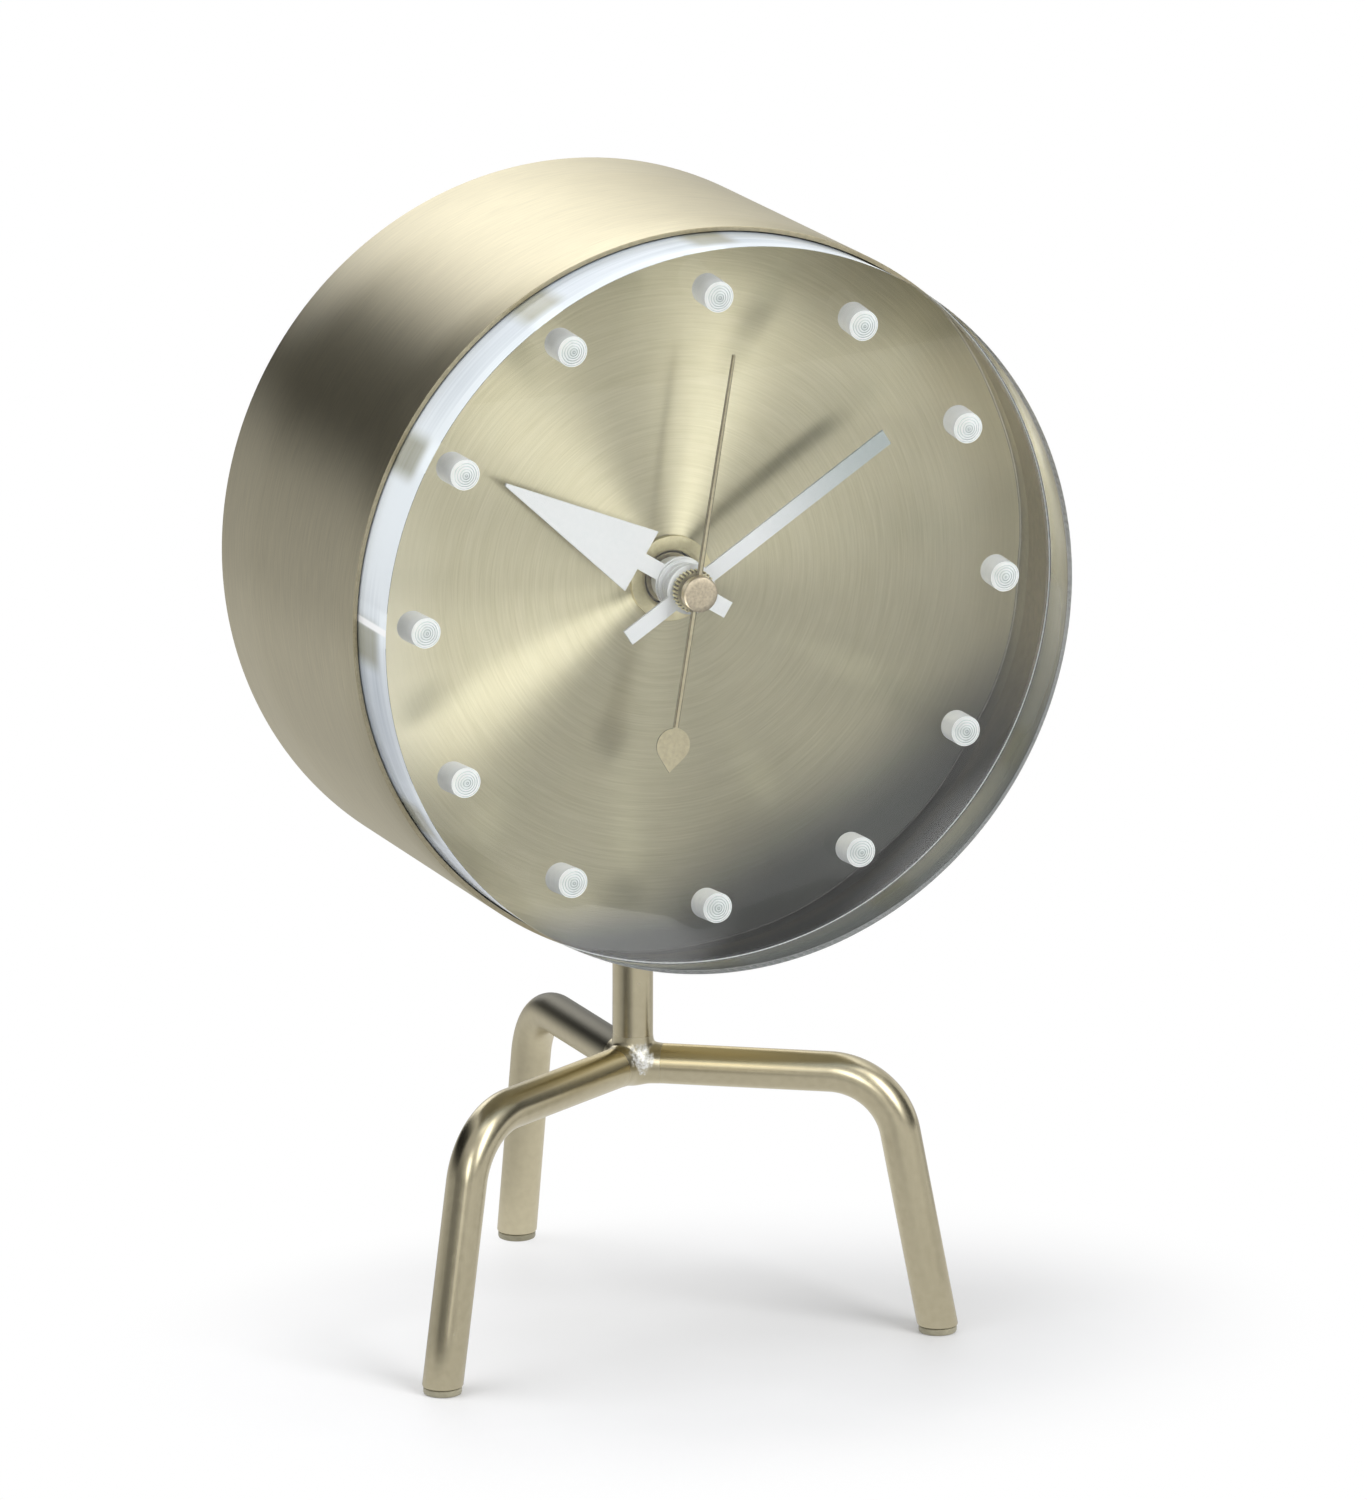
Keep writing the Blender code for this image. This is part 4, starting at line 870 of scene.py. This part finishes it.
def leg_points(way):
    """Centre line of a leg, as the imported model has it, with more points round its bend."""
    hub, corner, foot = Vector((0.0, HUB_HEIGHT)), Vector(LEG_CORNER), Vector((FOOT_RADIUS, LEG_FOOT))
    out, down = (corner - hub).normalized(), (foot - corner).normalized()
    angle = out.angle(down)
    start = corner - out * LEG_BEND * math.tan(angle / 2)
    normal = Vector((out.y, -out.x))
    first = math.atan2(-normal.y, -normal.x)
    flat = [hub + (start - hub) * t for t in (0.0, 0.25, 0.5, 0.75)]
    flat += [Vector(p) for p in arc(start + normal * LEG_BEND, LEG_BEND, first, first - angle, 36)]
    end = flat[-1]
    flat += [end + (foot + down * 3.0 - end) * t for t in (0.33, 0.66, 1.0)]
    return [(way * p.x + Vector((0.0, 0.0, p.y))) * mm for p in flat]


def slice_off(bm, point, normal):
    """Cut away what lies beyond a plane, and close the cut."""
    everything = bm.verts[:] + bm.edges[:] + bm.faces[:]
    done = bmesh.ops.bisect_plane(bm, geom=everything, plane_co=point, plane_no=normal, clear_outer=True)
    edges = [item for item in done["geom_cut"] if isinstance(item, bmesh.types.BMEdge)]
    bmesh.ops.contextual_create(bm, geom=edges)


leg_turns = {"left": math.radians(-60), "right": math.radians(60), "rear": math.radians(180)}
leg_ways = {side: Vector((math.sin(turn), -math.cos(turn), 0.0)) for side, turn in leg_turns.items()}
pad_profile = [(0, 0.0), (2.45, 0.0), (2.66, 0.1), (2.74, 0.3), (2.74, 0.9), (2.6, 1.0), (0, 1.0)]
for side, way in leg_ways.items():
    bm = sweep(leg_points(way), ROD_R * mm, 48)
    slice_off(bm, (0.0, 0.0, LEG_FOOT * mm), (0.0, 0.0, -1.0))
    for other, its_way in leg_ways.items():
        if other != side:
            away = (its_way - way).normalized()
            slice_off(bm, -away * 0.15 * mm, away)
    bottom = [e for e in bm.edges if all(abs(v.co.z - LEG_FOOT * mm) < 1e-7 for v in e.verts)]
    bmesh.ops.bevel(bm, geom=bottom, offset=0.2 * mm, segments=2, profile=0.5, affect="EDGES")
    finish = rear_rod_brass if side == "rear" else rod_brass
    place(finish_mesh(f"bent_rod_{side}", bm, [finish], stand_at, sharp=35.0), "case", "rod_brass", f"leg_{side}")
    foot_at = stand_at + way * FOOT_RADIUS * mm
    pad = finish_mesh(f"foot_pad_{side}", turned(pad_profile, 48, False, True), [soft_clear], foot_at)
    place(pad, "case", "soft_clear", f"pad_{side}")


def hub_blend_mesh():
    """Braze that runs the three rods and the stem into one, as a smooth union round the hub."""
    centre = Vector((0.0, 0.0, HUB_HEIGHT * mm))
    fall = Vector((0, 0, LEG_CORNER[1] - HUB_HEIGHT))
    ways = [(way * LEG_CORNER[0] + fall).normalized() for way in leg_ways.values()] + [Vector((0, 0, 1.0))]
    reach, soft, power, sink_start = 7.0, 0.75, 2.2, 4.6

    def field(p):
        """Signed distance in mm, with the rods run softly into each other."""
        gaps = [(p - way * max(p.dot(way), 0.0)).length - ROD_R for way in ways]
        return -soft / power * math.log(sum(math.exp(-gap / soft * power) for gap in gaps))

    bm = bmesh.new()
    bmesh.ops.create_icosphere(bm, subdivisions=6, radius=1.0)
    for v in bm.verts:
        d = v.co.normalized()
        low, high = 0.5, reach
        if field(d * high) < 0:
            low = high
        else:
            for _ in range(18):
                middle = (low + high) / 2
                if field(d * middle) < 0:
                    low = middle
                else:
                    high = middle
        t = (low + high) / 2
        # sink into the rods towards the blend's ends
        sink = 0.03 - 0.16 * max(0.0, (t - sink_start) / (reach - sink_start))
        p = d * t
        nearest = max(ways, key=lambda way: p.dot(way))
        along = p.dot(nearest)
        radial = p - nearest * along
        if along > 0 and radial.length > 2.0:
            p = nearest * along + radial.normalized() * (radial.length + sink)
        v.co = centre + p * mm
    return bm


blend = finish_mesh("brazed_hub", hub_blend_mesh(), [hub_brass], stand_at, sharp=60.0)
place(blend, "case", "weld_silver", "weld_bead")

stem_profile = [
    (0, 38.6), (ROD_R, 38.6), (ROD_R, 45.0), (ROD_R, 52.0), (ROD_R, 59.45), (2.75, 59.65), (2.0, 59.7),
    (2.0, 66.2), (1.7, 66.5), (0, 66.5),
]
post = finish_mesh("stem_rod", turned(stem_profile, 64, False, True), [rod_brass], stand_at)
place(post, "case", "rod_brass", "stem_post")

# ---- floor, light and camera ----


def mirror_level(n, rays, by_dial, by_rods):
    """Light for mirror rays, from what the dial sees through the disc and what bare metal sees.

    A ray that has been mirrored before carries less, as it would between worn surfaces.
    """
    through = rays["Is Transmission Ray"]
    again_dial, again_rods = (n.step(rays["Glossy Depth"], 1.2, 1.8, 1.0, share) for share in (0.7, 0.6))
    return n.plus(n.times(by_dial, through, again_dial), n.times(by_rods, n.minus(1.0, through), again_rods))


n = Nodes("floor_paper")
x, y, z = n.parts(n.coords())
reach = n.length(x, y)
rays = n.node("ShaderNodeLightPath").outputs
fibre = n.noise(n.coords(), 40.0, 3.0, 0.5)
n.set(Base_Color=n.ramp(fibre, [(0.3, (0.75, 0.75, 0.76)), (0.7, (0.77, 0.77, 0.78))]), Roughness=0.55)
# the camera sees the greyer paper with its real shadow only in an oval under the clock, a painted shade, and plain
# white paper further out
white_paper = n.node("ShaderNodeEmission")
shown = n.choose(n.minus(1.0, n.spot(x, y, (0.004, -0.022), (0.068, 0.052), 0.0, 0.92)), n.shader, white_paper)
# what the dial sees through the disc: dim paper, brighter far ahead and along a line to the front left
ahead = n.times(n.step(reach, 0.32, 0.65, 0.0, 0.55), n.step(y, 0.05, -0.10))
streak = n.spot(x, y, (-0.060, -0.170), (0.035, 0.10), -31.0, 3.2)
streak = n.plus(streak, n.spot(x, y, (-0.135, -0.28), (0.11, 0.15), 0.0, 1.5))
by_dial = n.minus(n.plus(ahead, 0.46, streak), n.spot(x, y, (0.13, -0.27), (0.15, 0.085), 0.0, 0.26))
# what the rods and the drum see: lighter paper in front and to the right, with a dark patch to the front left
front = n.plus(n.step(reach, 0.15, 0.45, 0.62, 0.84), n.step(x, -0.05, -0.30, 0.0, -0.25))
front = n.minus(front, n.spot(x, y, (-0.150, -0.105), (0.095, 0.085), 0.0, 0.50))
rear = n.times(n.step(y, 0.0, 0.12), n.step(reach, 0.18, 0.55, 0.20, 0.0))
rear = n.plus(rear, 0.42, n.spot(x, y, (0.05, 0.03), (0.07, 0.07), 0.0, 0.35))
rear = n.minus(rear, n.spot(x, y, (-0.36, -0.05), (0.27, 0.07), 0.0, 0.30))
in_front = n.step(y, 0.03, -0.03)
by_rods = n.plus(n.times(front, in_front), n.times(rear, n.minus(1.0, in_front)))
mirrored = n.node("ShaderNodeEmission", {"Strength": mirror_level(n, rays, by_dial, by_rods)})
shiny = n.math("MAXIMUM", rays["Is Glossy Ray"], rays["Is Transmission Ray"])
either = n.choose(rays["Is Camera Ray"], n.choose(shiny, n.shader, mirrored), shown)
n.link(either.outputs[0], n.out.inputs["Surface"])
bm = bmesh.new()
bmesh.ops.create_grid(bm, x_segments=2, y_segments=2, size=6.0)
floor = finish_mesh("floor", bm, [n.material])


def softbox(name, spot, aim, size, energy):
    """Square area light that brightens surfaces but stays out of every mirror."""
    data = bpy.data.lights.new(name, "AREA")
    data.shape = "RECTANGLE"
    data.size = data.size_y = size
    data.energy = energy
    lamp = bpy.data.objects.new(name, data)
    lamp.location = spot
    lamp.rotation_euler = (Vector(aim) - Vector(spot)).to_track_quat("-Z", "Y").to_euler()
    lamp.visible_glossy = False
    lamp.visible_transmission = False
    bpy.context.scene.collection.objects.link(lamp)


softbox("key_softbox", (-0.45, 0.10, 0.95), (0.0, 0.0, 0.08), 0.7, 5.0)
softbox("front_softbox", (0.35, -0.75, 0.75), (0.0, 0.0, 0.08), 0.5, 6.0)

w = Nodes("studio", world=True)
x, y, z = w.parts(w.coords("Generated"))
rays = w.node("ShaderNodeLightPath").outputs
# what the drum's wall sees: the studio behind the clock, by angle from the zenith towards the left
turn = w.math("ARCTAN2", w.times(x, -1.0), z)
levels = [
    (-180, 0.40), (-92, 0.50), (-79, 0.44), (-69, 0.38), (-59, 0.30), (-50, 0.34), (-40, 0.46), (-31, 0.68),
    (-21, 0.86), (-12, 0.98), (-2, 1.0), (8, 0.92), (17, 0.62), (27, 0.24), (36.6, 0.02), (42, 0.0), (56, 0.0),
    (67, 0.0), (76, 0.08), (85, 0.22), (94, 0.25), (180, 0.28),
]
stops = [((degrees + 180) / 360, (level, level, level)) for degrees, level in levels]
behind = w.ramp(w.spread(turn, 0.0, 1.0, -math.pi, math.pi), stops)
behind_light = w.node("ShaderNodeBackground", {"Color": behind, "Strength": 1.75})
# what the dial sees: a dim room with two soft boxes
boxes = [((0.50, 0.25), (0.11, 0.32), 13.0, 2.6), ((-0.11, 0.29), (0.17, 0.30), -45.0, 2.5)]
by_dial = w.plus(*[w.spot(x, z, *box) for box in boxes], 0.5)
# what the rods see: a dark horizon, darker sides and three soft boxes
sides = w.times(w.step(x, 0.60, 0.88, 1.0, 0.15), w.step(x, -0.65, -0.9, 1.0, 0.40))
room = w.times(w.step(z, 0.10, 0.35, 0.28, 0.50), sides)
boxes = [((-0.38, 0.32), (0.11, 0.22), 0.0, 3.6), ((0.33, 0.50), (0.17, 0.28), 0.0, 3.6)]
boxes.append(((0.06, 0.89), (0.20, 0.10), 0.0, 1.4))
by_rods = w.plus(room, *[w.spot(x, z, *box) for box in boxes])
ahead = mirror_level(w, rays, by_dial, by_rods)
front_light = w.node("ShaderNodeBackground", {"Color": (1.0, 1.0, 1.0), "Strength": ahead})
white = w.node("ShaderNodeBackground", {"Color": (1.0, 1.0, 1.0)})
w.set(Color=(0.98, 0.99, 1.0), Strength=0.70)
# mirror rays see the studio above, unless they light something soft; the camera sees white
shiny = w.math("MAXIMUM", rays["Is Glossy Ray"], rays["Is Transmission Ray"])
shiny = w.minus(shiny, w.math("GREATER_THAN", rays["Diffuse Depth"], 0.5), clamp=True)
seen_behind = w.choose(rays["Is Transmission Ray"], behind_light, white)
by_half = w.choose(w.math("GREATER_THAN", y, 0.0), front_light, seen_behind)
by_ray = w.choose(shiny, w.shader, by_half)
w.link(w.choose(rays["Is Camera Ray"], by_ray, white).outputs[0], w.out.inputs["Surface"])
bpy.context.scene.world = w.material
bpy.context.scene.view_settings.view_transform = "Standard"

# The photograph's viewpoint, fitted to its dial, disc, hour marks and feet; distances in metres
azimuth, elevation, roll = math.radians(-22.943), math.radians(14.510), math.radians(0.126)
distance, focal_pixels, frame_pixels, sensor = 1.67565, 11825.8, 1500, 36.0
back_axis = Vector((math.sin(azimuth), -math.cos(azimuth), 0.0)) * math.cos(elevation)
back_axis.z = math.sin(elevation)
right_axis = (-back_axis).cross(Vector((0, 0, 1))).normalized()
up_axis = right_axis.cross(-back_axis)
right_axis, up_axis = (
    right_axis * math.cos(roll) + up_axis * math.sin(roll),
    up_axis * math.cos(roll) - right_axis * math.sin(roll),
)
target = stand_at + right_axis * 0.0071500 + Vector((0, 0, 0.0843244))
lens = bpy.data.cameras.new("camera")
camera = bpy.data.objects.new("camera", lens)
bpy.context.scene.collection.objects.link(camera)
view = Matrix((right_axis, up_axis, back_axis)).transposed().to_4x4()
view.translation = target + back_axis * distance
camera.matrix_world = view
lens.sensor_fit = "VERTICAL"
lens.sensor_height = sensor
lens.lens = focal_pixels * sensor / frame_pixels
lens.clip_start, lens.clip_end = 0.01, 30.0
bpy.context.scene.camera = camera
